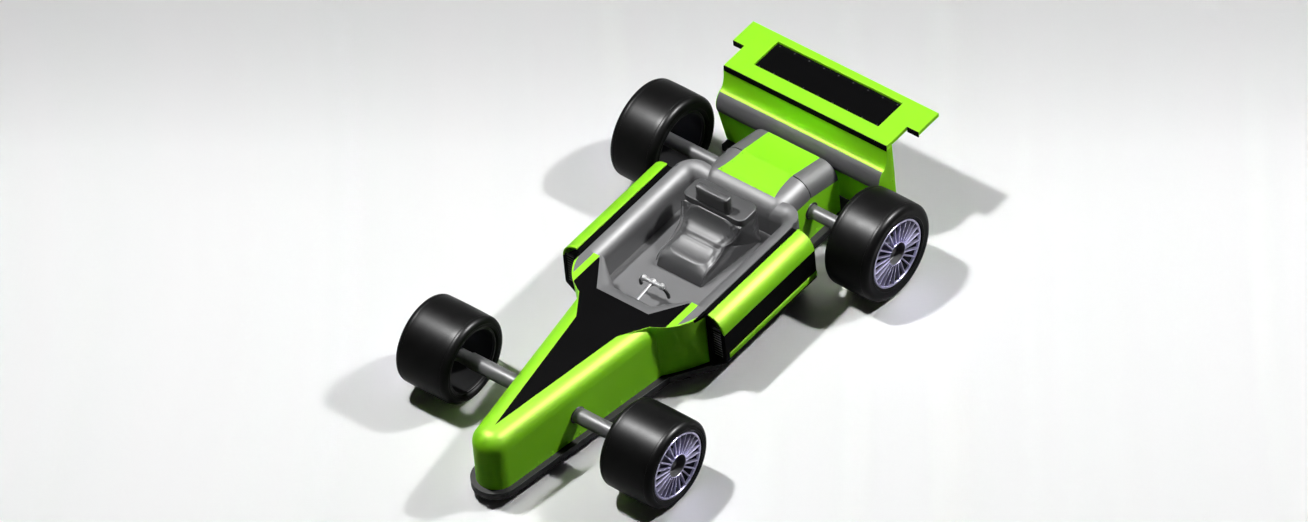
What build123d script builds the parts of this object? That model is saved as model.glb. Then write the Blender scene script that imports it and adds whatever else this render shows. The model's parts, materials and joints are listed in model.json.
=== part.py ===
from build123d import *
import os
from math import acos, atan2, cos, hypot, radians, sin

# Open wheel racing car: wedge nose, open cockpit, two side pods, a covered engine and a full-width tail wing.
# Millimetres, +Z up, nose towards -Y, +X is the car's left. The origin is on the ground, mid length.

# Stance
WHEELBASE = 2300.0
FRONT_OVERHANG = 757.0      # front axle to the lip of the floor plate
REAR_OVERHANG = 859.0       # rear axle to the back edge of the wing
GROUND_GAP = 70.0           # ground to the underside of the floor plate
FLOOR_THICK = 56.0
FIT = 0.3                   # gap between pieces set beside each other
RUN = 0.05                  # radial gap of a pin that turns in its bore

# Nose
NOSE_AFT = 739.0            # front axle to the back of the nose
NOSE_LIP = 37.0             # how far the floor plate stands out round the nose tip
NOSE_TIP_RADIUS = 136.0
NOSE_BACK_HALF = 326.0
NOSE_ROUND = 118.0          # roll of the long top edges
NOSE_DROP = 27.0            # how much lower the deck is at the tip
DECK_HEIGHT = 583.0
DECK_TIP_AHEAD = 553.0      # point of the deck panel, ahead of the front axle
PANEL_THICK = 8.0
PANEL_INSET = 6.0           # green edge left beside the deck panel on the flares

# Flares from the nose out to the tub
FLARE_LENGTH = 267.0
FLARE_STEP = 10.0           # foot of the flare outside the tub at its back
FLARE_SKIN = 14.0
FLARE_REACH = 234.0         # the flare runs out on the deck this far ahead of the nose's back
FLARE_KNEE = 45.0           # its top starts to swell out here, ahead of the nose's back
FLARE_TOP_OUT = 13.0        # at the back the top stands outside the foot
FLARE_TOP_BELLY = 55.0      # swell of the top edge off its chord
FLARE_FOOT_BELLY = 12.0     # swell of the foot off its chord
STRIP_WIDTH = 50.0          # painted strip on the deck, from the cockpit's line outwards

# Tub and cockpit
TUB_HALF = 492.0
COAMING_WIDTH = 112.0
COAMING_ROUND = 100.0
COCKPIT_DEPTH = 243.0
SCUTTLE_BACK = 40.0         # back of the nose to the front edge of the cockpit
SCUTTLE_TAPER = 167.0       # how much narrower that edge is on each side
SCUTTLE_LENGTH = 245.0      # from that edge to the full cockpit width
FOOTWELL_HALF = 150.0
FOOTWELL_ROOF = 63.0        # deck to the roof of the footwell
FOOTWELL_BEHIND_AXLE = 190.0

# Side pods
POD_STRIP = 48.0            # black strip between the tub and the painted cover
POD_ROUND = 127.0           # quarter round of the painted cover
POD_STEP = 8.0              # strip below the deck
POD_LIP = 28.0              # depth of the strip's point that runs on to the flare
COVER_RISE = 9.0            # cover above the deck
COVER_SKIN = 12.0
POD_LEAD = 21.0             # pod front ahead of the tub front
POD_SHORT = 44.0            # pod back ahead of the bulkhead
SILL_RISE = 96.0            # floor plate to the sill strip
SILL_TALL = 62.0
SILL_THICK = 6.0
SILL_SET_BACK = 35.0        # front of the strip behind the pod's front
SLAT_COUNT = 11
SLAT_THICK = 7.0
GRILLE_IN = 26.0            # mouth outside the cover's inner edge
GRILLE_WALL = 24.0          # mouth inside the pod's wall
GRILLE_DEPTH = 42.0
GRILLE_RISE = 124.0         # floor plate to the mouth
GRILLE_DROP = 97.0          # top of the cover to the top of the mouth
GRILLE_BACK = 10.0

# Seat: heights above the cockpit floor, distances ahead of the bulkhead
SEAT_HALF = 192.0
SEAT_FRONT = 640.0
SEAT_BACK = 70.0
SEAT_CREST = (527.0, 100.0)
SEAT_HEEL = (369.0, 166.0)
SEAT_LIP = (259.0, 278.0)   # top front edge of the seat back
SEAT_ROLL = (0.35, 0.75)    # shares of the way to the crest that the front roll passes through
SEAT_DISH = 14.0            # hollow of the base
SEAT_HOLLOW = (0.72, 8.0)   # hollow of the back: share of the way back, depth
BACK_HALF = 250.0           # the back is wider than the base
CAP_THICK = 40.0            # flat cap on the seat back
CAP_CORNER = 60.0
HEADREST_HALF = 142.0
HEADREST_DEPTH = 66.0
HEADREST_TALL = 136.0
HEADREST_CORNER = 30.0
HEADREST_EDGE = 5.0

# Steering and pedals
WHEEL_AFT = 80.0            # steering wheel behind the tub front
WHEEL_DROP = 80.0           # steering wheel below the deck
COLUMN_TILT = 10.0
COLUMN_RADIUS = 11.0
COLUMN_PIN = 9.0
HUB_RADIUS = 18.0
HUB_LENGTH = 34.0
BAR_HALF = 70.0
BAR_RADIUS = 8.0
GRIP_OUT = 112.0
GRIP_DROP = 95.0
GRIP_BEND = (106.0, 38.0)   # point on the grip's curve: out, down
GRIP_RADIUS = 12.0
BRACKET_HALF = 35.0
BRACKET_THICK = 10.0
BRACKET_TOP = 16.0          # deck to the top of the column's bracket
PEDAL_OFFSET = 60.0
PEDAL_HALF = 32.0
PEDAL_HEIGHT = 80.0
PEDAL_THICK = 8.0
PEDAL_SHAFT = 8.0
PEDAL_BACK = 70.0           # shaft behind the front wall of the footwell
PEDAL_HANG = 24.0           # shaft below the footwell's roof

# Engine and its cover
BULKHEAD_AHEAD = 320.0      # cover front ahead of the rear axle
COVER_HALF = 350.0
COVER_ABOVE_AXLE = 240.0    # crown of the cover above the rear axle
COVER_FOLD_BEHIND = 8.0     # fold behind the rear axle
COVER_BACK_BEHIND = 285.0
COVER_FALL = 62.0           # how much lower the crown is at the back
COVER_ROUND = 120.0
SHOULDER_DEPTH = 130.0
HOOP_LENGTH = 100.0
SEAM = 8.0
TOP_PANEL_FRONT = 236.0     # half widths of the top panel at its front, fold and back
TOP_PANEL_FOLD = 208.0
TOP_PANEL_BACK = 214.0
TOP_PANEL_WAIST = (216.0, 90.0)     # point on its curved side: half width, behind its front
COVER_WALL = 40.0
COVER_ROOF = 138.0          # crown to the inside of the cover
ENGINE_HALF = 235.0
ENGINE_ROOM = 20.0          # gap from the engine to the cover's end walls
ENGINE_CLEAR = 10.0         # and to its roof

# Tail and wing
TAIL_HALF = 673.0
TAIL_FOOT = 390.0           # distances behind the rear axle
TAIL_PANEL = (328.0, 429.0)
TAIL_NOSE = (312.0, 492.0)
TAIL_CREST = (358.0, 588.0)
TAIL_COVE = (398.0, 645.0)
TAIL_NECK = (422.0, 721.0)
TAIL_BACK = 475.0
WING_LOW = 745.0
WING_THICK = 30.0
WING_FRONT = 427.0
WING_STEP = 643.0
WING_TIP_HALF = 767.0
INSERT_HALF = 516.0
INSERT_FRONT = 541.0
INSERT_BACK = 799.0
INSERT_THICK = 12.0

# Floor plate behind the pods
FLOOR_MARGIN = 45.0
FLOOR_NECK_IN = 30.0        # where the plate starts to draw in, ahead of the bulkhead
FLOOR_NECK_LENGTH = 150.0
FLOOR_TAIL_LEAD = 60.0      # rear floor ahead of the tail's foot
FLOOR_TAIL_LIP = 15.0

# Wheels: tyre radius, inner and outer face from the centre line, rim radius
FRONT_WHEEL = dict(radius=316.0, inner=630.0, outer=1054.0, rim=240.0)
REAR_WHEEL = dict(radius=352.0, inner=710.0, outer=1066.0, rim=246.0)
TYRE_SHOULDER = 42.0
BEAD_CHAMFER = 14.0
BARREL_THICK = 8.0
BARREL_INSET = 16.0
RIM_INSET = 8.0
SPOKE_COUNT = 24
SPOKE_WIDTH = 8.0
SPOKE_DEPTH = 24.0
CUP_RADIUS = 85.0
CUP_THICK = 7.0
HUB_RECESS = 69.0           # outer face of the tyre to the hub's face
HUB_THICK = 50.0
SPINDLE_RADIUS = 20.0
SPINDLE_SHOULDER = 40.0
SPINDLE_END = 30.0          # spindle beyond the hub's face
NUT_THICK = 22.0
NUT_RADIUS = 36.0

# Axles and knuckles
AXLE_RADIUS = 47.5
KINGPIN_IN = 143.0          # king pin inside the face of the hub
KINGPIN_RADIUS = 12.0
BOSS_RADIUS = 52.0
BOSS_HALF = 56.0
YOKE_LUG = 30.0
YOKE_HALF = 36.0
YOKE_ROOM = 6.0             # knuckle web to the boss
YOKE_WEB = 28.0
FLANGE_RADIUS = 70.0
FLANGE_THICK = 20.0

# Stations along the car
LENGTH = FRONT_OVERHANG + WHEELBASE + REAR_OVERHANG
Y_LIP = -LENGTH / 2
Y_FRONT_AXLE = Y_LIP + FRONT_OVERHANG
Y_REAR_AXLE = Y_FRONT_AXLE + WHEELBASE
Y_NOSE_TIP = Y_LIP + NOSE_LIP
Y_FLARE = Y_FRONT_AXLE + NOSE_AFT
Y_TUB = Y_FLARE + FLARE_LENGTH
Y_SCUTTLE = Y_FLARE + SCUTTLE_BACK
Y_COCKPIT = Y_SCUTTLE + SCUTTLE_LENGTH
Y_BULKHEAD = Y_REAR_AXLE - BULKHEAD_AHEAD
Y_FOLD = Y_REAR_AXLE + COVER_FOLD_BEHIND
Y_COVER_BACK = Y_REAR_AXLE + COVER_BACK_BEHIND
Y_FOOTWELL = Y_FRONT_AXLE + FOOTWELL_BEHIND_AXLE
Z_FLOOR = GROUND_GAP + FLOOR_THICK
Z_SKY = 2 * DECK_HEIGHT     # above everything that is cut from the top

# Heights and widths that follow
FLARE_BACK_HALF = TUB_HALF + FLARE_STEP
COCKPIT_HALF = TUB_HALF - COAMING_WIDTH
COCKPIT_FLOOR = DECK_HEIGHT - COCKPIT_DEPTH
SCUTTLE_HALF = COCKPIT_HALF - SCUTTLE_TAPER
FOOTWELL_TOP = DECK_HEIGHT - FOOTWELL_ROOF
STRIP_INNER = COCKPIT_HALF
STRIP_OUTER = STRIP_INNER + STRIP_WIDTH
POD_SPLIT = TUB_HALF + POD_STRIP
POD_HALF = POD_SPLIT + POD_ROUND
POD_TOP = DECK_HEIGHT - POD_STEP
POD_FRONT = Y_TUB - POD_LEAD
POD_BACK = Y_BULKHEAD - POD_SHORT
COVER_TOP = DECK_HEIGHT + COVER_RISE
COVER_FOOT = COVER_TOP - POD_ROUND
SILL_LOW = Z_FLOOR + SILL_RISE
GRILLE_INNER = POD_SPLIT + GRILLE_IN
GRILLE_OUTER = POD_HALF - GRILLE_WALL
GRILLE_LOW = Z_FLOOR + GRILLE_RISE
GRILLE_HIGH = COVER_TOP - GRILLE_DROP
WHEEL_HEIGHT = DECK_HEIGHT - WHEEL_DROP
COVER_CROWN = REAR_WHEEL["radius"] + COVER_ABOVE_AXLE
COVER_BACK_CROWN = COVER_CROWN - COVER_FALL
KINGPIN_X = FRONT_WHEEL["outer"] - HUB_RECESS - KINGPIN_IN


def outline(steps, place):
    """Closed face of lines and arcs: a step is a corner, or a pair (point on the arc, corner)."""
    corners = [step if not isinstance(step[0], tuple) else step[1] for step in steps]
    edges = []
    for step, start, end in zip(steps, corners[-1:] + corners[:-1], corners):
        if isinstance(step[0], tuple):
            edges.append(ThreePointArc(place(start), place(step[0]), place(end)))
        else:
            edges.append(Line(place(start), place(end)))
    return make_face(edges)


def plan_face(steps, height):
    return outline(steps, lambda p: (p[0], p[1], height))


def plan_prism(steps, low, high):
    """Outline of (x, y) steps raised from one height to another."""
    return extrude(plan_face(steps, low), high - low, dir=(0, 0, 1))


def side_prism(steps, half, start=None):
    """Side profile of (y, z) steps carried across the car, from -half or from start to +half."""
    first = -half if start is None else start
    return extrude(outline(steps, lambda p: (first, p[0], p[1])), half - first, dir=(1, 0, 0))


def front_prism(steps, front, back):
    """Front profile of (x, z) steps carried along the car."""
    return extrude(outline(steps, lambda p: (p[0], front, p[1])), back - front, dir=(0, 1, 0))


def span(x0, x1, y0, y1, z0, z1):
    """Block between two corners."""
    return Pos((x0 + x1) / 2, (y0 + y1) / 2, (z0 + z1) / 2) * Box(x1 - x0, y1 - y0, z1 - z0)


def turned(steps):
    """Solid of revolution about the X axis from (x, radius) steps."""
    return revolve(outline(steps, lambda p: (p[0], p[1], 0)), Axis.X)


def rod(x, y, z, radius, axis, length):
    """Round bar centred on a point along X or Z."""
    turn = Rot(0, 90, 0) if axis == "X" else Rot(0, 0, 0)
    return Pos(x, y, z) * turn * Cylinder(radius, length)


def other_side(piece):
    return mirror(piece, about=Plane.YZ)


def behind(table):
    """Side profile point given as (behind the rear axle, height)."""
    return (Y_REAR_AXLE + table[0], table[1])


def ahead(table):
    """Side profile point given as (ahead of the bulkhead, height above the cockpit floor)."""
    return (Y_BULKHEAD - table[0], COCKPIT_FLOOR + table[1])


def wedge_steps(tip, radius, back_half, back):
    """Plan of a blunt wedge: round tip, straight sides out to the back corners."""
    centre = tip + radius
    reach = hypot(back_half, back - centre)
    angle = atan2(back - centre, back_half) - acos(radius / reach)
    x, y = radius * cos(angle), centre + radius * sin(angle)
    return [(-back_half, back), (-x, y), ((0, tip), (x, y)), (back_half, back)]


def deck_slab(top, bottom):
    """Everything between two depths below the deck line, which dips towards the nose tip."""
    tip = DECK_HEIGHT - NOSE_DROP
    return side_prism([(Y_NOSE_TIP, tip - top), (Y_FLARE, DECK_HEIGHT - top), (Y_BULKHEAD, DECK_HEIGHT - top),
                       (Y_BULKHEAD, DECK_HEIGHT - bottom), (Y_FLARE, DECK_HEIGHT - bottom),
                       (Y_NOSE_TIP, tip - bottom)], 2 * TUB_HALF)


def flare_steps(inset, top):
    """Plan of the flared stretch at its top or foot: straight out of the nose, then swelling to the tub."""
    slope = (FLARE_BACK_HALF - NOSE_BACK_HALF) / FLARE_LENGTH
    front, knee = Y_FLARE - FLARE_REACH, Y_FLARE - FLARE_KNEE
    front_half = NOSE_BACK_HALF - slope * FLARE_REACH - inset
    knee_half = NOSE_BACK_HALF - slope * FLARE_KNEE - inset
    back_half = FLARE_BACK_HALF + (FLARE_TOP_OUT if top else 0) - inset
    swell = FLARE_TOP_BELLY if top else FLARE_FOOT_BELLY
    chord = hypot(back_half - knee_half, Y_TUB - knee)
    mid_x = (knee_half + back_half) / 2 + swell * (Y_TUB - knee) / chord
    mid_y = (knee + Y_TUB) / 2 - swell * (back_half - knee_half) / chord
    return [(front_half, front), (knee_half, knee), ((mid_x, mid_y), (back_half, Y_TUB)), (-back_half, Y_TUB),
            ((-mid_x, mid_y), (-knee_half, knee)), (-front_half, front)]


def flare_block(inset):
    """Solid of the flared stretch between floor and deck, drawn in by a skin."""
    sections = [plan_face(flare_steps(inset, top), height)
                for top, height in ((False, Z_FLOOR), (True, DECK_HEIGHT))]
    return loft(sections, ruled=True)


def deck_panel():
    """Black panel over the nose and round the front of the cockpit, flush with the deck."""
    tip = Y_FRONT_AXLE - DECK_TIP_AHEAD
    steps = [(0, tip), *flare_steps(PANEL_INSET, True)]
    sheet = plan_prism(steps, 0, Z_SKY) & deck_slab(0, PANEL_THICK)
    return (sheet & span(-STRIP_INNER, STRIP_INNER, Y_LIP, Y_BULKHEAD, 0, Z_SKY)) - cockpit_front()


def cockpit_front():
    """Tapered front of the cockpit, from the scuttle edge to its full width."""
    steps = [(-SCUTTLE_HALF, Y_SCUTTLE), (SCUTTLE_HALF, Y_SCUTTLE), (COCKPIT_HALF, Y_COCKPIT),
             (-COCKPIT_HALF, Y_COCKPIT)]
    return plan_prism(steps, COCKPIT_FLOOR, Z_SKY)


def cockpit_well():
    """Main cockpit space, its long top edges rolled outwards."""
    low = DECK_HEIGHT - COAMING_ROUND
    edge = COCKPIT_HALF + COAMING_ROUND
    mid = COAMING_ROUND * (1 - cos(radians(45)))
    steps = [(-COCKPIT_HALF, COCKPIT_FLOOR), (COCKPIT_HALF, COCKPIT_FLOOR), (COCKPIT_HALF, low),
             ((COCKPIT_HALF + mid, DECK_HEIGHT - mid), (edge, DECK_HEIGHT)), (edge, Z_SKY), (-edge, Z_SKY),
             (-edge, DECK_HEIGHT), ((-COCKPIT_HALF - mid, DECK_HEIGHT - mid), (-COCKPIT_HALF, low))]
    return front_prism(steps, Y_COCKPIT, Y_BULKHEAD)


def footwell():
    """Tunnel for the driver's legs, from the cockpit into the nose."""
    return span(-FOOTWELL_HALF, FOOTWELL_HALF, Y_FOOTWELL, Y_SCUTTLE, COCKPIT_FLOOR, FOOTWELL_TOP)


def floor_plate():
    nose = wedge_steps(Y_LIP, NOSE_TIP_RADIUS + NOSE_LIP, NOSE_BACK_HALF + FLOOR_MARGIN, Y_FLARE)
    wide = FLARE_BACK_HALF + FLOOR_MARGIN
    neck = COVER_HALF + FLOOR_MARGIN
    y_neck = Y_BULKHEAD - FLOOR_NECK_IN
    y_tail = Y_REAR_AXLE + TAIL_FOOT - FLOOR_TAIL_LEAD
    side = [(wide, Y_TUB), (wide, y_neck), (neck, y_neck + FLOOR_NECK_LENGTH), (neck, y_tail),
            (TAIL_HALF, y_tail), (TAIL_HALF, Y_REAR_AXLE + TAIL_BACK + FLOOR_TAIL_LIP)]
    return plan_prism(nose + side + [(-x, y) for x, y in reversed(side)], GROUND_GAP, Z_FLOOR)


def nose_shell():
    """Nose with its rolled top edges, before anything is cut into it."""
    steps = wedge_steps(Y_NOSE_TIP, NOSE_TIP_RADIUS, NOSE_BACK_HALF, Y_FLARE)
    block = plan_prism(steps, Z_FLOOR, Z_SKY) - deck_slab(-Z_SKY, 0)
    top = block.faces().sort_by(Axis.Z)[-1]
    rolled = [edge for edge in top.edges() if edge.center().Y < Y_FLARE - 1]
    return fillet(rolled, NOSE_ROUND)


def nose_body():
    body = nose_shell() - deck_panel() - footwell()
    return body - rod(0, Y_FRONT_AXLE, FRONT_WHEEL["radius"], AXLE_RADIUS + FIT, "X", 2 * NOSE_BACK_HALF)


def tub_core():
    """Flared front of the tub, as the flare skins meet it."""
    return flare_block(FLARE_SKIN) & span(-TUB_HALF, TUB_HALF, Y_FLARE, Y_TUB, 0, Z_SKY)


def tub_block():
    return span(-TUB_HALF, TUB_HALF, Y_TUB, Y_BULKHEAD, Z_FLOOR, DECK_HEIGHT)


def tub():
    strip = deck_strip()
    body = tub_core() + tub_block()
    for cut in (cockpit_front(), cockpit_well(), footwell(), deck_panel(), strip, other_side(strip)):
        body -= cut
    return body


def deck_strip():
    """Painted strip on the left of the deck, from the flare's top edge to the cockpit's full width."""
    band = span(STRIP_INNER, STRIP_OUTER, Y_LIP, Y_COCKPIT, 0, Z_SKY) & deck_slab(0, PANEL_THICK)
    return band & (flare_block(0) + tub_block())


def flare():
    """Left flare skin with the painted strip that runs on from its top edge."""
    skin = flare_block(0) - deck_slab(-Z_SKY, 0) - tub_core() - nose_shell() - deck_panel() - pod_lip()
    left = skin & span(FOOTWELL_HALF / 2, 2 * TUB_HALF, Y_LIP, Y_BULKHEAD, 0, Z_SKY)
    return left + deck_strip()


def pod_lip():
    """Point of the black strip beside the tub, which runs on over the back of the flare."""
    return flare_block(0) & span(TUB_HALF, 2 * TUB_HALF, Y_LIP, Y_TUB, DECK_HEIGHT - POD_LIP, Z_SKY)


def cover_arc(depth):
    """Front profile of the painted cover's quarter round, moved inwards by a depth: top, middle, foot."""
    radius = POD_ROUND - depth
    mid = radius * cos(radians(45))
    return ((POD_SPLIT, COVER_FOOT + radius), (POD_SPLIT + mid, COVER_FOOT + mid),
            (POD_SPLIT + radius, COVER_FOOT))


def grille_pocket():
    return span(GRILLE_INNER, GRILLE_OUTER, POD_FRONT, POD_FRONT + GRILLE_DEPTH, GRILLE_LOW, GRILLE_HIGH)


def radiator_grille():
    """Slats across the pod's mouth on a thin back plate."""
    back = POD_FRONT + GRILLE_DEPTH
    plate = span(GRILLE_INNER, GRILLE_OUTER, back - GRILLE_BACK, back, GRILLE_LOW, GRILLE_HIGH)
    pitch = (GRILLE_HIGH - GRILLE_LOW) / SLAT_COUNT
    for index in range(SLAT_COUNT):
        low = GRILLE_LOW + (index + 0.5) * pitch - SLAT_THICK / 2
        plate += span(GRILLE_INNER, GRILLE_OUTER, POD_FRONT, back, low, low + SLAT_THICK)
    return plate


def sidepod():
    """Left pod beside the tub: underside tucked in to the floor plate, upright wall, seat for the cover."""
    top, middle, foot = cover_arc(COVER_SKIN + FIT)
    shelf = COVER_FOOT - FIT
    steps = [(TUB_HALF, Z_FLOOR), (FLARE_BACK_HALF + FLOOR_MARGIN, Z_FLOOR), (POD_HALF, SILL_LOW),
             (POD_HALF, shelf), (foot[0], shelf), foot, (middle, top), (POD_SPLIT, POD_TOP),
             (TUB_HALF, POD_TOP)]
    body = front_prism(steps, POD_FRONT, POD_BACK)
    body -= span(0, POD_SPLIT - POD_LEAD, POD_FRONT, Y_TUB, 0, Z_SKY)
    return body - grille_pocket() + pod_lip()


def sidepod_cover():
    outer, inner = cover_arc(0), cover_arc(COVER_SKIN)
    return front_prism([outer[0], (outer[1], outer[2]), inner[2], (inner[1], inner[0])], POD_FRONT, POD_BACK)


def sill_strip():
    return span(POD_HALF, POD_HALF + SILL_THICK, POD_FRONT + SILL_SET_BACK, POD_BACK, SILL_LOW,
                SILL_LOW + SILL_TALL)


def seat():
    """Seat of one side profile: rolled front, dished base, hollow back, wider from the heel up."""
    front, crest, heel, lip = (ahead(point) for point in ((SEAT_FRONT, 0), SEAT_CREST, SEAT_HEEL, SEAT_LIP))
    back, top = Y_BULKHEAD - SEAT_BACK, lip[1]
    roll = tuple(start + share * (end - start) for start, share, end in zip(front, SEAT_ROLL, crest))
    dish = ((crest[0] + heel[0]) / 2, (crest[1] + heel[1]) / 2 - SEAT_DISH)
    hollow = (heel[0] + SEAT_HOLLOW[0] * (lip[0] - heel[0]), (heel[1] + lip[1]) / 2 - SEAT_HOLLOW[1])
    form = side_prism([front, (roll, crest), (dish, heel), (hollow, lip), (back, top), (back, COCKPIT_FLOOR)],
                      BACK_HALF)
    side = [(SEAT_HALF, front[0]), (SEAT_HALF, heel[0]), (BACK_HALF, lip[0]), (BACK_HALF, back)]
    return form & plan_prism(side + [(-x, y) for x, y in reversed(side)], 0, Z_SKY)


def headrest():
    """Flat cap on the seat back with a tall pad on its front edge, both with rounded ends."""
    front, low = ahead(SEAT_LIP)
    high = low + CAP_THICK
    cap = span(-BACK_HALF, BACK_HALF, front, Y_BULKHEAD - SEAT_BACK, low, high)
    cap = fillet(cap.edges().filter_by(Axis.Z), CAP_CORNER)
    pad = span(-HEADREST_HALF, HEADREST_HALF, front, front + HEADREST_DEPTH, low, high + HEADREST_TALL)
    pad = fillet(pad.edges().filter_by(Axis.Z), HEADREST_CORNER)
    return cap + fillet(pad.faces().sort_by(Axis.Z)[-1].edges(), HEADREST_EDGE)


def column_plane():
    """Plane across the steering column at the wheel: x to the car's left, normal towards the driver."""
    tilt = radians(COLUMN_TILT)
    origin = (0, Y_TUB + WHEEL_AFT, WHEEL_HEIGHT)
    return Plane(origin=origin, x_dir=(1, 0, 0), z_dir=(0, cos(tilt), sin(tilt)))


def steering_column():
    """Tilted column with the pin that carries the wheel, on a bracket below the scuttle."""
    reach = (Y_TUB + WHEEL_AFT - Y_SCUTTLE) / cos(radians(COLUMN_TILT))
    end = -HUB_LENGTH / 2 - FIT
    tube = Pos(0, 0, (end - reach) / 2) * Cylinder(COLUMN_RADIUS, reach + end)
    pin = Cylinder(COLUMN_PIN, HUB_LENGTH + 2 * FIT)
    foot = WHEEL_HEIGHT - reach * sin(radians(COLUMN_TILT)) - 2 * COLUMN_RADIUS
    bracket = span(-BRACKET_HALF, BRACKET_HALF, Y_SCUTTLE, Y_SCUTTLE + BRACKET_THICK, foot,
                   DECK_HEIGHT - BRACKET_TOP)
    body = column_plane() * (tube + pin) + bracket
    return body & span(-BRACKET_HALF, BRACKET_HALF, Y_SCUTTLE, Y_BULKHEAD, 0, Z_SKY)


def steering_wheel():
    """Short cross bar with two grips that curl down, on a hub that turns on the column's pin."""
    wheel = Cylinder(HUB_RADIUS, HUB_LENGTH) + Rot(0, 90, 0) * Cylinder(BAR_RADIUS, 2 * BAR_HALF)
    path = ThreePointArc((BAR_HALF, 0, 0), GRIP_BEND, (GRIP_OUT, GRIP_DROP, 0))
    grip = sweep(Plane(origin=path @ 0, z_dir=path % 0) * Circle(GRIP_RADIUS), path=path)
    wheel += grip + other_side(grip)
    return column_plane() * (wheel - Cylinder(COLUMN_PIN + RUN, 2 * HUB_LENGTH))


def pedals():
    """Two hanging pedals on a shaft between the footwell walls."""
    y = Y_FOOTWELL + PEDAL_BACK
    z = FOOTWELL_TOP - PEDAL_HANG
    group = rod(0, y, z, PEDAL_SHAFT, "X", 2 * FOOTWELL_HALF)
    low = COCKPIT_FLOOR + PEDAL_SHAFT
    for side in (-1, 1):
        x = side * PEDAL_OFFSET
        group += span(x - PEDAL_SHAFT, x + PEDAL_SHAFT, y - PEDAL_THICK / 2, y + PEDAL_THICK / 2, low, z)
        group += span(x - PEDAL_HALF, x + PEDAL_HALF, y, y + PEDAL_THICK, low, low + PEDAL_HEIGHT)
    return group


def crown_line(drop):
    """Side profile points of the engine cover's top, lowered by a depth."""
    return [(Y_FOLD, COVER_CROWN - drop), (Y_COVER_BACK, COVER_BACK_CROWN - drop)]


def cover_front_block():
    block = span(-COVER_HALF, COVER_HALF, Y_BULKHEAD, Y_FOLD, Z_FLOOR, COVER_CROWN)
    edges = [edge for edge in block.edges()
             if edge.center().Y < Y_FOLD - 1 and edge.center().Z > Z_FLOOR + 1 and
             (abs(edge.center().X) > 1 or edge.center().Y < Y_BULKHEAD + 1)]
    return fillet(edges, COVER_ROUND)


def cover_rear_block():
    block = side_prism([(Y_FOLD, Z_FLOOR)] + crown_line(0) + [(Y_COVER_BACK, Z_FLOOR)], COVER_HALF)
    edges = [edge for edge in block.edges()
             if edge.center().Z > COVER_BACK_CROWN + 1 and abs(edge.center().X) > 1]
    return fillet(edges, COVER_ROUND)


def cover_space():
    """Engine bay inside the cover, open to the floor plate."""
    front, back = Y_BULKHEAD + COVER_WALL, Y_COVER_BACK - COVER_WALL
    inner = COVER_HALF - COVER_WALL
    return span(-inner, inner, front, back, 0, COVER_BACK_CROWN - COVER_ROOF)


def rear_axle_bore():
    return rod(0, Y_REAR_AXLE, REAR_WHEEL["radius"], AXLE_RADIUS + FIT, "X", 4 * COVER_HALF)


def engine_cover_top():
    """Painted top panel, let in flush from the hoop to the back edge."""
    start = Y_BULKHEAD + HOOP_LENGTH
    sheet = side_prism([(start, COVER_CROWN)] + crown_line(0) + crown_line(PANEL_THICK)[::-1] +
                       [(start, COVER_CROWN - PANEL_THICK)], COVER_HALF)
    waist = (TOP_PANEL_WAIST[0], start + TOP_PANEL_WAIST[1])
    fold, back = (TOP_PANEL_FOLD, Y_FOLD), (TOP_PANEL_BACK, Y_COVER_BACK)
    steps = [(TOP_PANEL_FRONT, start), (waist, fold), back, (-back[0], back[1]), (-fold[0], fold[1]),
             ((-waist[0], waist[1]), (-TOP_PANEL_FRONT, start))]
    return sheet & plan_prism(steps, 0, Z_SKY)


def shoulder_hoop():
    """Front of the engine cover: the rolled hoop behind the driver and the shoulders as far as the seam."""
    low = COVER_CROWN - SHOULDER_DEPTH
    back = Y_BULKHEAD + HOOP_LENGTH
    zone = side_prism([(Y_BULKHEAD, Z_FLOOR), (back, Z_FLOOR), (back, low), (Y_FOLD - SEAM, low),
                       (Y_FOLD - SEAM, Z_SKY), (Y_BULKHEAD, Z_SKY)], COVER_HALF)
    return (cover_front_block() & zone) - cover_space() - engine_cover_top() - rear_axle_bore()


def shoulder_rear():
    """Falling shoulders behind the seam."""
    zone = side_prism(crown_line(SHOULDER_DEPTH) + [(Y_COVER_BACK, Z_SKY), (Y_FOLD, Z_SKY)], COVER_HALF)
    return (cover_rear_block() & zone) - cover_space() - engine_cover_top() - rear_axle_bore()


def engine_cover():
    """Painted sides and back of the engine cover below the shoulders, with the rear axle's holes."""
    start = Y_BULKHEAD + HOOP_LENGTH
    zone = side_prism([(start, Z_FLOOR), (Y_COVER_BACK, Z_FLOOR)] + crown_line(SHOULDER_DEPTH)[::-1] +
                      [(start, COVER_CROWN - SHOULDER_DEPTH)], COVER_HALF)
    return ((cover_front_block() + cover_rear_block()) & zone) - cover_space() - rear_axle_bore()


def engine_block():
    """Engine and gearbox as one plain block that the rear axle passes through."""
    front, back = Y_BULKHEAD + COVER_WALL + ENGINE_ROOM, Y_COVER_BACK - COVER_WALL - ENGINE_ROOM
    top = COVER_BACK_CROWN - COVER_ROOF - ENGINE_CLEAR
    return span(-ENGINE_HALF, ENGINE_HALF, front, back, Z_FLOOR, top) - rear_axle_bore()


def tail_pieces():
    """Tail wall in three bands: straight panel, round roll and hollow cove under the wing."""
    back = Y_REAR_AXLE + TAIL_BACK
    panel, crest, neck = behind(TAIL_PANEL), behind(TAIL_CREST), behind(TAIL_NECK)
    bands = {
        "tail_panel": [behind((TAIL_FOOT, Z_FLOOR)), panel, (back, panel[1]), (back, Z_FLOOR)],
        "tail_roll": [panel, (behind(TAIL_NOSE), crest), (back, crest[1]), (back, panel[1])],
        "tail_cove": [crest, (behind(TAIL_COVE), neck), (neck[0], WING_LOW), (back, WING_LOW),
                      (back, crest[1])],
    }
    return {name: side_prism(steps, TAIL_HALF) for name, steps in bands.items()}


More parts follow.
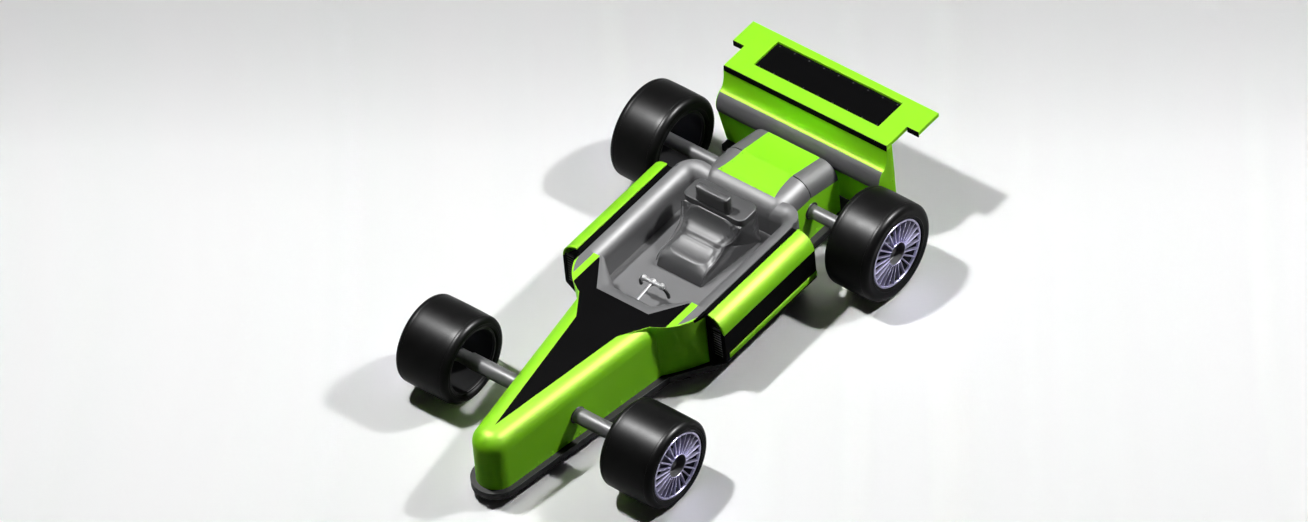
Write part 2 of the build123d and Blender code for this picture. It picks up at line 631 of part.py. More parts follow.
def wing_window(low):
    return span(-INSERT_HALF, INSERT_HALF, Y_REAR_AXLE + INSERT_FRONT, Y_REAR_AXLE + INSERT_BACK, low,
                WING_LOW + WING_THICK)


def wing_plate():
    """Flat wing with a wider back half and a window for the dark insert."""
    front, step, back = (Y_REAR_AXLE + d for d in (WING_FRONT, WING_STEP, REAR_OVERHANG))
    side = [(TAIL_HALF, front), (TAIL_HALF, step), (WING_TIP_HALF, step), (WING_TIP_HALF, back)]
    plate = plan_prism(side + [(-x, y) for x, y in reversed(side)], WING_LOW, WING_LOW + WING_THICK)
    return plate - wing_window(WING_LOW)


def wing_insert():
    window = wing_window(WING_LOW)
    return window & span(-INSERT_HALF, INSERT_HALF, 0, LENGTH, WING_LOW, WING_LOW + INSERT_THICK)


def hub_face(wheel):
    return wheel["outer"] - HUB_RECESS


def tyre(wheel):
    """Broad slick tyre with rounded shoulders and bevelled beads."""
    radius, bead = wheel["radius"], wheel["rim"] + FIT
    curl = TYRE_SHOULDER * (1 - cos(radians(45)))

    def side(face, inwards):
        """Bead, sidewall and shoulder of one side, from the bead up to the tread."""
        return [(face + inwards * BEAD_CHAMFER, bead), (face, bead + BEAD_CHAMFER),
                (face, radius - TYRE_SHOULDER),
                ((face + inwards * curl, radius - curl), (face + inwards * TYRE_SHOULDER, radius))]

    start, foot, wall, (arc, tread) = side(wheel["outer"], -1)
    return turned(side(wheel["inner"], 1) + [tread, (arc, wall), foot, start])


def rim(wheel):
    """Barrel, deep hub cup and a fan of thin spokes just inside the outer face."""
    face, edge, outer = hub_face(wheel), wheel["rim"], wheel["outer"] - RIM_INSET
    inner, back = wheel["inner"] + BARREL_INSET, face - HUB_THICK
    wall, bore, cup_in = edge - BARREL_THICK, SPINDLE_RADIUS + RUN, CUP_RADIUS - CUP_THICK
    barrel = turned([(inner, wall), (outer, wall), (outer, edge), (inner, edge)])
    cup = turned([(back, bore), (face, bore), (face, cup_in), (outer, cup_in), (outer, CUP_RADIUS),
                  (back, CUP_RADIUS)])
    low, high = CUP_RADIUS - CUP_THICK / 2, edge - BARREL_THICK / 2
    blade = span(outer - SPOKE_DEPTH, outer, -SPOKE_WIDTH / 2, SPOKE_WIDTH / 2, low, high)
    fan = [Rot(360 / SPOKE_COUNT * index, 0, 0) * blade for index in range(SPOKE_COUNT)]
    return barrel + cup + fan


def hub_nut(wheel):
    face = hub_face(wheel) + FIT
    hexagon = Rot(0, 90, 0) * extrude(RegularPolygon(NUT_RADIUS, 6), NUT_THICK)
    return Pos(face, 0, 0) * hexagon - rod(face, 0, 0, SPINDLE_RADIUS, "X", 4 * NUT_THICK)


def spindle_steps(wheel, start, radius):
    """Half profile of a stub axle from a shoulder out through the hub."""
    seat, end = hub_face(wheel) - HUB_THICK - FIT, hub_face(wheel) + SPINDLE_END
    return [(start, radius), (seat, radius), (seat, SPINDLE_RADIUS), (end, SPINDLE_RADIUS)]


def front_axle():
    """Axle tube through the nose with an upright boss for a king pin at each end."""
    beam = rod(0, 0, 0, AXLE_RADIUS, "X", 2 * KINGPIN_X)
    for side in (-1, 1):
        beam += rod(side * KINGPIN_X, 0, 0, BOSS_RADIUS, "Z", 2 * BOSS_HALF)
        beam -= rod(side * KINGPIN_X, 0, 0, KINGPIN_RADIUS + RUN, "Z", 4 * BOSS_HALF)
    return beam


def knuckle():
    """Forked knuckle: two lugs and a king pin round the boss, and the stub axle for the wheel."""
    low, high = BOSS_HALF + FIT, BOSS_HALF + FIT + YOKE_LUG
    web = KINGPIN_X + BOSS_RADIUS + YOKE_ROOM
    back = web + YOKE_WEB
    fork = span(web, back, -YOKE_HALF, YOKE_HALF, -high, high)
    for side in (-1, 1):
        fork += span(KINGPIN_X, back, -YOKE_HALF, YOKE_HALF, *sorted((side * low, side * high)))
        fork += rod(KINGPIN_X, 0, side * (low + high) / 2, YOKE_HALF, "Z", YOKE_LUG)
    fork += rod(KINGPIN_X, 0, 0, KINGPIN_RADIUS, "Z", 2 * high)
    stub = spindle_steps(FRONT_WHEEL, back, SPINDLE_SHOULDER)
    return fork + turned([(back, 0)] + stub + [(stub[-1][0], 0)])


def rear_axle():
    """Axle tube through the gearbox, with a flange and a stub for each wheel."""
    flange = hub_face(REAR_WHEEL) - HUB_THICK - FLANGE_THICK - BEAD_CHAMFER
    half = [(flange, AXLE_RADIUS), (flange, FLANGE_RADIUS), (flange + FLANGE_THICK, FLANGE_RADIUS)]
    half += spindle_steps(REAR_WHEEL, flange + FLANGE_THICK, SPINDLE_SHOULDER)
    end = half[-1][0]
    return turned([(-end, 0), *[(-x, r) for x, r in reversed(half)], *half, (end, 0)])


def build():
    """Every node of the car by name."""
    nodes = {
        "floor_plate": floor_plate(), "nose_body": nose_body(), "deck_panel": deck_panel(), "tub": tub(),
        "seat": seat(), "headrest": headrest(), "steering_column": steering_column(),
        "steering_wheel": steering_wheel(), "pedals": pedals(), "shoulder_hoop": shoulder_hoop(),
        "shoulder_rear": shoulder_rear(), "engine_cover": engine_cover(),
        "engine_cover_top": engine_cover_top(), "engine_block": engine_block(), "wing_plate": wing_plate(),
        "wing_insert": wing_insert(),
    }
    nodes.update(tail_pieces())
    for name, make in (("flare", flare), ("sidepod", sidepod), ("sidepod_cover", sidepod_cover),
                       ("sill_strip", sill_strip), ("radiator_grille", radiator_grille)):
        nodes[name + "_left"] = make()
        nodes[name + "_right"] = other_side(nodes[name + "_left"])
    front = Pos(0, Y_FRONT_AXLE, FRONT_WHEEL["radius"])
    rear = Pos(0, Y_REAR_AXLE, REAR_WHEEL["radius"])
    nodes["front_axle"], nodes["rear_axle"] = front * front_axle(), rear * rear_axle()
    nodes["knuckle_left"] = front * knuckle()
    nodes["knuckle_right"] = other_side(nodes["knuckle_left"])
    for end, place, wheel in (("front", front, FRONT_WHEEL), ("rear", rear, REAR_WHEEL)):
        for name, make in (("tyre", tyre), ("rim", rim), ("hub_nut", hub_nut)):
            nodes[f"{name}_{end}_left"] = place * make(wheel)
            nodes[f"{name}_{end}_right"] = other_side(nodes[f"{name}_{end}_left"])
    return nodes


os.makedirs("parts", exist_ok=True)
for node, solid in build().items():
    export_step(solid, f"parts/{node}.step")
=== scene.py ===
"""Open wheel racing car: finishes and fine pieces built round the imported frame, in metres."""

import json
import logging
from dataclasses import dataclass
from enum import Enum
from math import cos, pi, radians, sin, tau
from typing import Any

import bmesh
import bpy
import numpy as np
from mathutils import Matrix, Vector


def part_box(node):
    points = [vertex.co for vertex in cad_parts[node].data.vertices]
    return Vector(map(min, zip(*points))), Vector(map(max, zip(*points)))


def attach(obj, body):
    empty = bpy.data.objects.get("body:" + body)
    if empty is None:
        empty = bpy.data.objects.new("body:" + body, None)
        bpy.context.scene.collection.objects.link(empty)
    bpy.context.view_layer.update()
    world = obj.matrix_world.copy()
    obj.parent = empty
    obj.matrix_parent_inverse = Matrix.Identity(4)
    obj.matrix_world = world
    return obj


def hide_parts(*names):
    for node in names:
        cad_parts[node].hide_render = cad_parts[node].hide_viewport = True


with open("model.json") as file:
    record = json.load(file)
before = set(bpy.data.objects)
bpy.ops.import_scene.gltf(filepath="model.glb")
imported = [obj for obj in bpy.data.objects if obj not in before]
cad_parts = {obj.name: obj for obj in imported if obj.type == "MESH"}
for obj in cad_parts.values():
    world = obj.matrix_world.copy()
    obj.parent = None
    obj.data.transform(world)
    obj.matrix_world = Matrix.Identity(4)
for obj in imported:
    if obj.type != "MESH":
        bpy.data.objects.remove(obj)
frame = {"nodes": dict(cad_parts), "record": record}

LOG = logging.getLogger("racing_car")
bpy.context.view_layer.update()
TINY = 1e-6

Spot = tuple[float, float]
Point = tuple[float, float, float]
Colour = tuple[float, float, float]
Row = tuple[float, ...]


class Side(Enum):
    """Left and right of the car, with the sign of X on that side."""

    LEFT = 1
    RIGHT = -1

    @property
    def word(self) -> str:
        """Name used in the frame's nodes."""
        return self.name.lower()


class AxleEnd(Enum):
    """The two axles."""

    FRONT = "front"
    REAR = "rear"


class Lay(Enum):
    """How a flat outline (u, v) with a depth w lies in the car: the axes that take u, v and w."""

    PLAN = (0, 1, 2)
    FRONT = (0, 2, 1)
    SIDE = (1, 2, 0)


# Node trees

MIX_SOCKETS = (0, 6, 7)
MIX_RESULT = 2


def add_node(tree: bpy.types.NodeTree, kind: str, inputs: dict[Any, Any] | None = None,
             **settings: Any) -> bpy.types.Node:
    """Adds one node, sets its options, and sets or links its inputs.

    Args:
        tree: Node tree that takes the node.
        kind: Blender's name of the node type.
        inputs: Values or output sockets by input name or index.
        **settings: Options of the node itself.

    Returns:
        The new node.
    """
    node = tree.nodes.new(kind)
    for option, value in settings.items():
        setattr(node, option, value)
    for key, value in (inputs or {}).items():
        if isinstance(value, bpy.types.NodeSocket):
            tree.links.new(value, node.inputs[key])
        else:
            node.inputs[key].default_value = value
    return node


def calc(tree: bpy.types.NodeTree, operation: str, *terms: Any) -> bpy.types.NodeSocket:
    """One arithmetic step on values or sockets.

    Args:
        tree: Node tree that takes the step.
        operation: Name of the operation, such as MULTIPLY.
        *terms: Up to three values or sockets.

    Returns:
        The socket with the result.
    """
    node = add_node(tree, "ShaderNodeMath", dict(enumerate(terms)), operation=operation)
    return node.outputs[0]


def blend_colours(tree: bpy.types.NodeTree, share: Any, first: Any, second: Any) -> bpy.types.NodeSocket:
    """Mix of two colours, all first at share 0 and all second at share 1.

    Args:
        tree: Node tree that takes the mix.
        share: Value or socket from 0 to 1.
        first: Colour or socket.
        second: Colour or socket.

    Returns:
        The mixed colour's socket.
    """
    terms = [(*term, 1.0) if isinstance(term, tuple) else term for term in (share, first, second)]
    node = add_node(tree, "ShaderNodeMix", dict(zip(MIX_SOCKETS, terms)), data_type="RGBA")
    return node.outputs[MIX_RESULT]


class EffectLibrary:
    """Shader effects that several finishes share, each built once as a node group."""

    grain_detail: float = 2.0
    cloud_detail: float = 4.0
    dust_scale: float = 14.0
    dust_detail: float = 6.0
    twill_repeat: float = 4.0
    twill_over: float = 1.5

    def __init__(self) -> None:
        """Builds the groups."""
        self.grain = self._grain()
        self.dust = self._dust()
        self.twill = self._twill()

    @staticmethod
    def _group(name: str, inputs: tuple[str, ...], outputs: tuple[str, ...]) -> tuple:
        """Empty group with named sockets: Place is a vector, every other socket a number.

        Args:
            name: Name of the group.
            inputs: Names of its inputs.
            outputs: Names of its outputs.

        Returns:
            The group, its input node and its output node.
        """
        group = bpy.data.node_groups.new(name, "ShaderNodeTree")
        for in_out, sockets in (("INPUT", inputs), ("OUTPUT", outputs)):
            for socket in sockets:
                kind = "NodeSocketVector" if socket == "Place" else "NodeSocketFloat"
                group.interface.new_socket(name=socket, in_out=in_out, socket_type=kind)
        return group, group.nodes.new("NodeGroupInput"), group.nodes.new("NodeGroupOutput")

    def _grain(self) -> bpy.types.NodeTree:
        """Fine even grain for bump, and slow clouds for tone, both from noise on the place.

        Returns:
            The group.
        """
        group, given, made = self._group("surface_grain", ("Place", "Scale", "Cloud Scale"),
                                         ("Height", "Cloud"))
        for scale, detail, output in (("Scale", self.grain_detail, "Height"),
                                      ("Cloud Scale", self.cloud_detail, "Cloud")):
            noise = add_node(group, "ShaderNodeTexNoise", {
                "Vector": given.outputs["Place"], "Scale": given.outputs[scale], "Detail": detail})
            group.links.new(noise.outputs["Fac"], made.inputs[output])
        return group

    def _dust(self) -> bpy.types.NodeTree:
        """Road dust: strongest at the ground, gone at a given height, broken up by noise.

        Returns:
            The group.
        """
        group, given, made = self._group("road_dust", ("Place", "Reach"), ("Mask",))
        parts = add_node(group, "ShaderNodeSeparateXYZ", {0: given.outputs["Place"]})
        fall = calc(group, "DIVIDE", parts.outputs["Z"], given.outputs["Reach"])
        near = calc(group, "MAXIMUM", calc(group, "SUBTRACT", 1.0, fall), 0.0)
        noise = add_node(group, "ShaderNodeTexNoise", {
            "Vector": given.outputs["Place"], "Scale": self.dust_scale, "Detail": self.dust_detail})
        group.links.new(calc(group, "MULTIPLY", near, noise.outputs["Fac"]), made.inputs["Mask"])
        return group

    def _twill(self) -> bpy.types.NodeTree:
        """Two by two twill: cells of one pitch, each lying over where column plus row, modulo 4, is under 2.

        The two directions are x plus z and y plus z, so that the cloth runs on round every edge.

        Returns:
            The group.
        """
        group, given, made = self._group("twill_cloth", ("Place", "Pitch"), ("Height", "Over"))
        parts = add_node(group, "ShaderNodeSeparateXYZ", {0: given.outputs["Place"]})
        cells, waves = [], []
        for axis in ("X", "Y"):
            along = calc(group, "ADD", parts.outputs[axis], parts.outputs["Z"])
            cell = calc(group, "DIVIDE", along, given.outputs["Pitch"])
            cells.append(calc(group, "FLOOR", cell))
            waves.append(calc(group, "ABSOLUTE", calc(group, "SINE", calc(group, "MULTIPLY", cell, pi))))
        step = calc(group, "FLOORED_MODULO", calc(group, "ADD", *cells), self.twill_repeat)
        over = calc(group, "LESS_THAN", step, self.twill_over)
        under = calc(group, "SUBTRACT", 1.0, over)
        upper = calc(group, "MULTIPLY", over, waves[0])
        lower = calc(group, "MULTIPLY", under, waves[1])
        group.links.new(calc(group, "ADD", upper, lower), made.inputs["Height"])
        group.links.new(over, made.inputs["Over"])
        return group


EFFECTS = EffectLibrary()


# Finishes

GREEN: Colour = (0.29, 0.88, 0.008)
DUST: Colour = (0.32, 0.29, 0.25)


@dataclass(frozen=True)
class Finish:
    """A surface's colour and the way it takes light.

    Lengths are metres, scales are repeats for each metre.
    """

    name: str
    colour: Colour
    roughness: float
    specular: float = 0.5
    tint: Colour = (1.0, 1.0, 1.0)
    metallic: float = 0.0
    tone: float = 0.06
    mottle: float = 0.12
    grain_scale: float = 500.0
    grain_depth: float = 0.00005
    cloud_scale: float = 5.0
    dust: float = 0.0
    dust_reach: float = 0.45

    def place(self, tree: bpy.types.NodeTree) -> bpy.types.NodeSocket:
        """Object coordinates of the surface."""
        return add_node(tree, "ShaderNodeTexCoord").outputs["Object"]

    def relief(self, tree: bpy.types.NodeTree, place: bpy.types.NodeSocket) -> tuple:
        """Height and cloud sockets of the surface.

        Args:
            tree: The material's node tree.
            place: Object coordinates.

        Returns:
            The socket that feeds the bump and the socket that varies tone and gloss.
        """
        inputs = {"Place": place, "Scale": self.grain_scale, "Cloud Scale": self.cloud_scale}
        grain = add_node(tree, "ShaderNodeGroup", inputs, node_tree=EFFECTS.grain)
        return grain.outputs["Height"], grain.outputs["Cloud"]

    def base_colour(self, tree: bpy.types.NodeTree, place: Any, cloud: Any) -> bpy.types.NodeSocket:
        """Colour that drifts a little with the clouds and greys with dust near the ground.

        Args:
            tree: The material's node tree.
            place: Object coordinates.
            cloud: Socket of the slow clouds.

        Returns:
            The colour's socket.
        """
        dark = tuple(c * (1.0 - self.tone) for c in self.colour)
        light = tuple(c * (1.0 + self.tone) for c in self.colour)
        colour = blend_colours(tree, cloud, dark, light)
        if self.dust > 0.0:
            film = add_node(tree, "ShaderNodeGroup", {"Place": place, "Reach": self.dust_reach},
                            node_tree=EFFECTS.dust)
            share = calc(tree, "MULTIPLY", film.outputs["Mask"], self.dust)
            colour = blend_colours(tree, share, colour, DUST)
        return colour

    def material(self) -> bpy.types.Material:
        """Builds the material.

        Returns:
            The new material.
        """
        shader = bpy.data.materials.new(self.name)
        shader.use_nodes = True
        tree = shader.node_tree
        tree.nodes.clear()
        place = self.place(tree)
        height, cloud = self.relief(tree, place)
        bump = add_node(tree, "ShaderNodeBump", {
            "Height": height, "Strength": 1.0, "Distance": self.grain_depth})
        low, high = self.roughness - self.mottle / 2, self.roughness + self.mottle / 2
        rough = add_node(tree, "ShaderNodeMapRange", {"Value": cloud, "To Min": low, "To Max": high})
        body = add_node(tree, "ShaderNodeBsdfPrincipled", {
            "Base Color": self.base_colour(tree, place, cloud), "Roughness": rough.outputs[0],
            "Normal": bump.outputs[0], "Metallic": self.metallic, "Specular IOR Level": self.specular,
            "Specular Tint": (*self.tint, 1.0)})
        add_node(tree, "ShaderNodeOutputMaterial", {"Surface": body.outputs[0]})
        return shader


@dataclass(frozen=True)
class ClothLaidFinish(Finish):
    """Composite panel: twill cloth just showing under a satin skin."""

    pitch: float = 0.004
    cloth_share: float = 0.5

    def relief(self, tree: bpy.types.NodeTree, place: bpy.types.NodeSocket) -> tuple:
        """Twill height, and clouds stirred by which yarn lies on top.

        Args:
            tree: The material's node tree.
            place: Object coordinates.

        Returns:
            The socket that feeds the bump and the socket that varies tone and gloss.
        """
        cloth = add_node(tree, "ShaderNodeGroup", {"Place": place, "Pitch": self.pitch},
                         node_tree=EFFECTS.twill)
        _, cloud = super().relief(tree, place)
        yarn = calc(tree, "MULTIPLY", cloth.outputs["Over"], self.cloth_share)
        rest = calc(tree, "MULTIPLY", cloud, 1.0 - self.cloth_share)
        return cloth.outputs["Height"], calc(tree, "ADD", rest, yarn)


@dataclass(frozen=True)
class TurnedFinish(Finish):
    """Bare metal with fine tool marks drawn out across the stretched axis."""

    stretch: Point = (1.0, 0.05, 0.05)

    def place(self, tree: bpy.types.NodeTree) -> bpy.types.NodeSocket:
        """Object coordinates squeezed along the tool marks."""
        where = super().place(tree)
        return add_node(tree, "ShaderNodeMapping", {"Vector": where, "Scale": self.stretch}).outputs[0]


FINISHES: dict[str, Finish] = {
    "body_green": Finish("lime_gloss_paint", GREEN, 0.48, 0.2, tint=(1.0, 1.0, 0.25), tone=0.03, mottle=0.04),
    "deck_black": ClothLaidFinish("satin_black_composite", (0.0030, 0.0030, 0.0034), 0.45, 0.006, tone=0.25,
                                  grain_depth=0.00004),
    "floor_black": ClothLaidFinish("black_floor_composite", (0.004, 0.004, 0.0045), 0.45, 0.12, tone=0.25,
                                   dust=0.03, dust_reach=0.14, grain_depth=0.00004),
    "tub_grey": Finish("satin_grey_paint", (0.128, 0.128, 0.132), 0.52, 0.17, tone=0.05),
    "seat_grey": Finish("grey_seat_vinyl", (0.085, 0.085, 0.088), 0.45, 0.10, tone=0.08, grain_scale=900.0,
                        grain_depth=0.00015),
    "column_steel": TurnedFinish("bright_plated_steel", (0.46, 0.46, 0.47), 0.36, 0.15, tone=0.03,
                                 mottle=0.06),
    "grip_rubber": Finish("grip_rubber", (0.010, 0.010, 0.010), 0.38, 0.25, grain_scale=1500.0,
                          grain_depth=0.0001),
    "axle_metal": TurnedFinish("satin_axle_steel", (0.15, 0.15, 0.155), 0.42, 0.13, tone=0.1),
    "engine_metal": Finish("cast_engine_alloy", (0.33, 0.33, 0.34), 0.5, metallic=0.6, grain_scale=300.0,
                           grain_depth=0.0004),
    "grille_black": Finish("grille_slat_black", (0.008, 0.008, 0.009), 0.45, 0.15),
    "tyre": Finish("slick_tyre_rubber", (0.0030, 0.0030, 0.0030), 0.38, 0.04, tone=0.3, mottle=0.1,
                   grain_scale=700.0, grain_depth=0.00012, cloud_scale=12.0, dust=0.04, dust_reach=0.12),
    "rim_alloy": Finish("pale_rim_alloy", (0.33, 0.315, 0.45), 0.3, metallic=0.85, tone=0.06, mottle=0.08),
}


class Paintshop:
    """Makes each material once and puts it on nodes and pieces."""

    def __init__(self) -> None:
        """Builds every material."""
        self.materials = {slot: finish.material() for slot, finish in FINISHES.items()}

    def coat(self, piece: bpy.types.Object, slot: str) -> None:
        """Gives a piece the one material of a slot."""
        piece.data.materials.clear()
        piece.data.materials.append(self.materials[slot])

    def coat_frame(self) -> None:
        """Dresses every node of the frame with the finish that the record gives it."""
        for row in frame["record"]["subparts"]:
            self.coat(frame["nodes"][row["node"]], row["material_slot"])


# Surfaces

def grid_faces(rows: int, columns: int, wrap_rows: bool, wrap_columns: bool, first: int) -> np.ndarray:
    """Quads of a grid whose point (i, j) has index first + i * columns + j.

    Args:
        rows: Points in the first direction.
        columns: Points in the second direction.
        wrap_rows: Whether the last row joins the first.
        wrap_columns: Whether the last column joins the first.
        first: Index of the first point.

    Returns:
        Array of quads, four indices each.
    """
    steps = np.arange(rows if wrap_rows else rows - 1), np.arange(columns if wrap_columns else columns - 1)
    i, j = np.meshgrid(*steps, indexing="ij")
    i2, j2 = (i + 1) % rows, (j + 1) % columns
    quads = np.stack([i * columns + j, i2 * columns + j, i2 * columns + j2, i * columns + j2], -1)
    return quads.reshape(-1, 4) + first


class Patchwork:
    """Collects grid patches and makes one mesh object of them, shaded smooth up to an angle in degrees."""

    smooth_angle: float = 35.0

    def __init__(self, name: str, sign: int = 1) -> None:
        """Starts an empty piece with that name, mirrored to the right where sign is -1."""
        self.name = name
        self.mirror = np.array([sign, 1.0, 1.0])
        self.points: list[np.ndarray] = []
        self.faces: list[np.ndarray] = []
        self.count = 0

    def add(self, points: np.ndarray, wrap_rows: bool = False, wrap_columns: bool = False) -> "Patchwork":
        """Adds one grid of points.

        Args:
            points: Array of shape (rows, columns, 3).
            wrap_rows: Whether the last row joins the first.
            wrap_columns: Whether the last column joins the first.

        Returns:
            This patchwork.
        """
        rows, columns = points.shape[:2]
        self.faces.append(grid_faces(rows, columns, wrap_rows, wrap_columns, self.count))
        self.points.append(points.reshape(-1, 3) * self.mirror)
        self.count += rows * columns
        return self

    def cap(self, ring: np.ndarray) -> "Patchwork":
        """Closes a ring of points by one flat polygon.

        Args:
            ring: Rows of points.

        Returns:
            This patchwork.
        """
        self.faces.append((np.arange(len(ring)) + self.count)[None])
        self.points.append(ring * self.mirror)
        self.count += len(ring)
        return self

    def run(self, points: np.ndarray) -> "Patchwork":
        """Adds closed sections carried along a path, with a flat end on the first and the last."""
        return self.add(points, False, True).cap(points[0]).cap(points[-1])

    def ring(self, profile: np.ndarray, centre: Vector, turns: int, sign: int = 1) -> "Patchwork":
        """Adds a closed section turned round a line along X."""
        return self.add(lathe(profile, centre, turns, sign), True, True)

    def rod(self, path: np.ndarray, radius: np.ndarray, sides: int) -> "Patchwork":
        """Adds a round bar along a path, closed at both ends."""
        return self.add(closed_tube(path, radius, sides), False, True)

    def slab(self, outline: np.ndarray, low: float, high: float, lay: Lay, edge: float = 0.0,
             steps: int = 4) -> "Patchwork":
        """Adds a flat outline carried through a depth, with rounded rims and flat ends.

        For t from 0 to a quarter turn the ring is set in by edge * (1 - sin t) at a depth of
        edge * (1 - cos t) from the end.

        Args:
            outline: Closed outline, rows of (u, v).
            low: Depth where it starts.
            high: Depth where it ends.
            lay: How it lies in the car.
            edge: Radius of the rims.
            steps: Rings on each rim.

        Returns:
            This patchwork.
        """
        ahead = np.roll(outline, -1, 0)
        turn = np.sign((outline[:, 0] * ahead[:, 1] - outline[:, 1] * ahead[:, 0]).sum())
        along = ahead - np.roll(outline, 1, 0)
        along /= np.linalg.norm(along, axis=1, keepdims=True)
        inwards = turn * np.stack([-along[:, 1], along[:, 0]], 1)
        t = np.linspace(0.0, pi / 2, steps if edge > 0.0 else 1)
        inset = edge * (1 - np.sin(t))
        depth = edge * (1 - np.cos(t))
        inset = np.concatenate([inset, inset[::-1]])
        depth = np.concatenate([low + depth, high - depth[::-1]])
        flat = outline[None] + inwards[None] * inset[:, None, None]
        points = np.empty((*flat.shape[:2], 3))
        points[..., lay.value[0]], points[..., lay.value[1]] = flat[..., 0], flat[..., 1]
        points[..., lay.value[2]] = depth[:, None]
        return self.run(points)

    def build(self) -> bpy.types.Object:
        """Makes the object, its doubles merged, its faces outwards and its sharp edges kept.

        Returns:
            The new object, linked to the scene.
        """
        mesh = bpy.data.meshes.new(self.name)
        faces = [face for patch in self.faces for face in patch.tolist()]
        mesh.from_pydata(np.concatenate(self.points), [], faces)
        tidy_mesh(mesh)
        mesh.shade_smooth()
        mesh.set_sharp_from_angle(angle=radians(self.smooth_angle))
        piece = bpy.data.objects.new(self.name, mesh)
        bpy.context.scene.collection.objects.link(piece)
        return piece


def tidy_mesh(mesh: bpy.types.Mesh) -> None:
    """Merges doubles, drops collapsed faces and turns all faces outwards.

    Args:
        mesh: Mesh to tidy.
    """
    work = bmesh.new()
    work.from_mesh(mesh)
    bmesh.ops.remove_doubles(work, verts=work.verts, dist=TINY)
    bmesh.ops.dissolve_degenerate(work, edges=work.edges, dist=TINY)
    bmesh.ops.recalc_face_normals(work, faces=work.faces)
    work.to_mesh(mesh)
    work.free()


def rounded_outline(corners: np.ndarray | list[Point], steps: int) -> np.ndarray:
    """Closed outline with each corner rounded by an arc.

    A corner of radius r is left r / tan(half its inner angle) before the point, and the arc is a quadratic
    blend of the two tangent points and the corner.

    Args:
        corners: Rows of (across, along, radius).
        steps: Points on each arc.

    Returns:
        Array of shape (points, 2).
    """
    table = np.array(corners, float)
    place, radius = table[:, :2], table[:, 2]
    back, ahead = np.roll(place, 1, 0) - place, np.roll(place, -1, 0) - place
    back /= np.linalg.norm(back, axis=1, keepdims=True)
    ahead /= np.linalg.norm(ahead, axis=1, keepdims=True)
    half = np.arccos(np.clip((back * ahead).sum(1), -1, 1)) / 2
    cut = (radius / np.maximum(np.tan(half), TINY))[:, None]
    t = np.linspace(0, 1, steps)[None, :, None]
    start, end = (place + back * cut)[:, None], (place + ahead * cut)[:, None]
    arcs = (1 - t) ** 2 * start + 2 * t * (1 - t) * place[:, None] + t ** 2 * end
    line = arcs.reshape(-1, 2)
    keep = np.ones(len(line), bool)
    keep[1:] = np.linalg.norm(np.diff(line, axis=0), axis=1) > TINY / 10
    return line[keep]


def rounded_box(low: Spot, high: Spot, corner: float, steps: int) -> np.ndarray:
    """Outline of a rectangle with four corners rounded alike.

    Args:
        low: Its lowest corner (u, v).
        high: Its highest corner.
        corner: Radius of the corners.
        steps: Points on each arc.

    Returns:
        Array of shape (points, 2).
    """
    (u0, v0), (u1, v1) = low, high
    return rounded_outline([(u0, v0, corner), (u1, v0, corner), (u1, v1, corner), (u0, v1, corner)], steps)


def lathe(profile: np.ndarray, centre: Vector, turns: int, sign: int = 1) -> np.ndarray:
    """Surface of revolution about a line along X.

    Point (k, j) is centre + (sign * across_j, radius_j * cos a_k, radius_j * sin a_k), with a_k evenly round
    the circle.

    Args:
        profile: Rows of (across, radius).
        centre: Point on the axis that across is measured from.
        turns: Number of steps round the axis.
        sign: 1, or -1 to mirror it.

    Returns:
        Array of shape (turns, points, 3).
    """
    angle = np.linspace(0, tau, turns, endpoint=False)[:, None]
    across, radius = profile[None, :, 0], profile[None, :, 1]
    ones = np.ones_like(angle)
    return np.stack([centre.x + sign * across * ones, centre.y + radius * np.cos(angle),
                     centre.z + radius * np.sin(angle)], -1)


def tube_along(path: np.ndarray, radius: np.ndarray, sides: int, closed: bool = False) -> np.ndarray:
    """Round section carried along a path in space.

    At each path point the circle lies across the tangent, on a pair of directions worked out from one fixed
    reference that is nowhere along the path.

    Args:
        path: Rows of points.
        radius: Radius at each point.
        sides: Points round the section.
        closed: Whether the path leads back to its start.

    Returns:
        Array of shape (path points, sides, 3).
    """
    tangent = np.roll(path, -1, 0) - np.roll(path, 1, 0) if closed else np.gradient(path, axis=0)
    tangent /= np.linalg.norm(tangent, axis=1, keepdims=True)
    reference = np.eye(3)[int(np.argmin(np.abs(tangent).max(0)))]
    first = np.cross(tangent, reference)
    first /= np.linalg.norm(first, axis=1, keepdims=True)
    second = np.cross(tangent, first)
    angle = np.linspace(0, tau, sides, endpoint=False)[None, :, None]
    ring = np.cos(angle) * first[:, None] + np.sin(angle) * second[:, None]
    return path[:, None] + ring * radius[:, None, None]


def closed_tube(path: np.ndarray, radius: np.ndarray, sides: int) -> np.ndarray:
    """Tube with both ends closed: the end points stand for end circles of no radius."""
    ends = [np.repeat(path[i][None, None], sides, 1) for i in (0, -1)]
    return np.concatenate([ends[0], tube_along(path, radius, sides), ends[1]])


def arc_through(start: Spot, middle: Spot, end: Spot, steps: int) -> np.ndarray:
    """Points on the circle through three points, which is found from where two chords' bisectors meet.

    Args:
        start: First point (u, v).
        middle: A point on the arc.
        end: Last point.
        steps: Number of points.

    Returns:
        Array of shape (steps, 2).
    """
    a, b, c = (np.array(p, float) for p in (start, middle, end))
    chords = np.stack([b - a, c - b])
    centre = np.linalg.solve(chords, [chords[0] @ (a + b) / 2, chords[1] @ (b + c) / 2])
    angles = np.unwrap([np.arctan2(*(p - centre)[::-1]) for p in (a, b, c)])
    turn = np.linspace(angles[0], angles[2], steps)
    return centre + np.linalg.norm(a - centre) * np.stack([np.cos(turn), np.sin(turn)], 1)


def spaced(start: Point, end: Point, count: int) -> np.ndarray:
    """Evenly spaced points on a line in space."""
    return np.linspace(np.array(start, float), np.array(end, float), count)


HEAD_RINGS = np.array([(1.0, -0.2), (1.0, 0.25), (0.88, 0.42), (0.5, 0.5), (0.46, 0.46), (0.44, 0.1),
                       (0.0, 0.1)])
HEAD_SIDES = 10


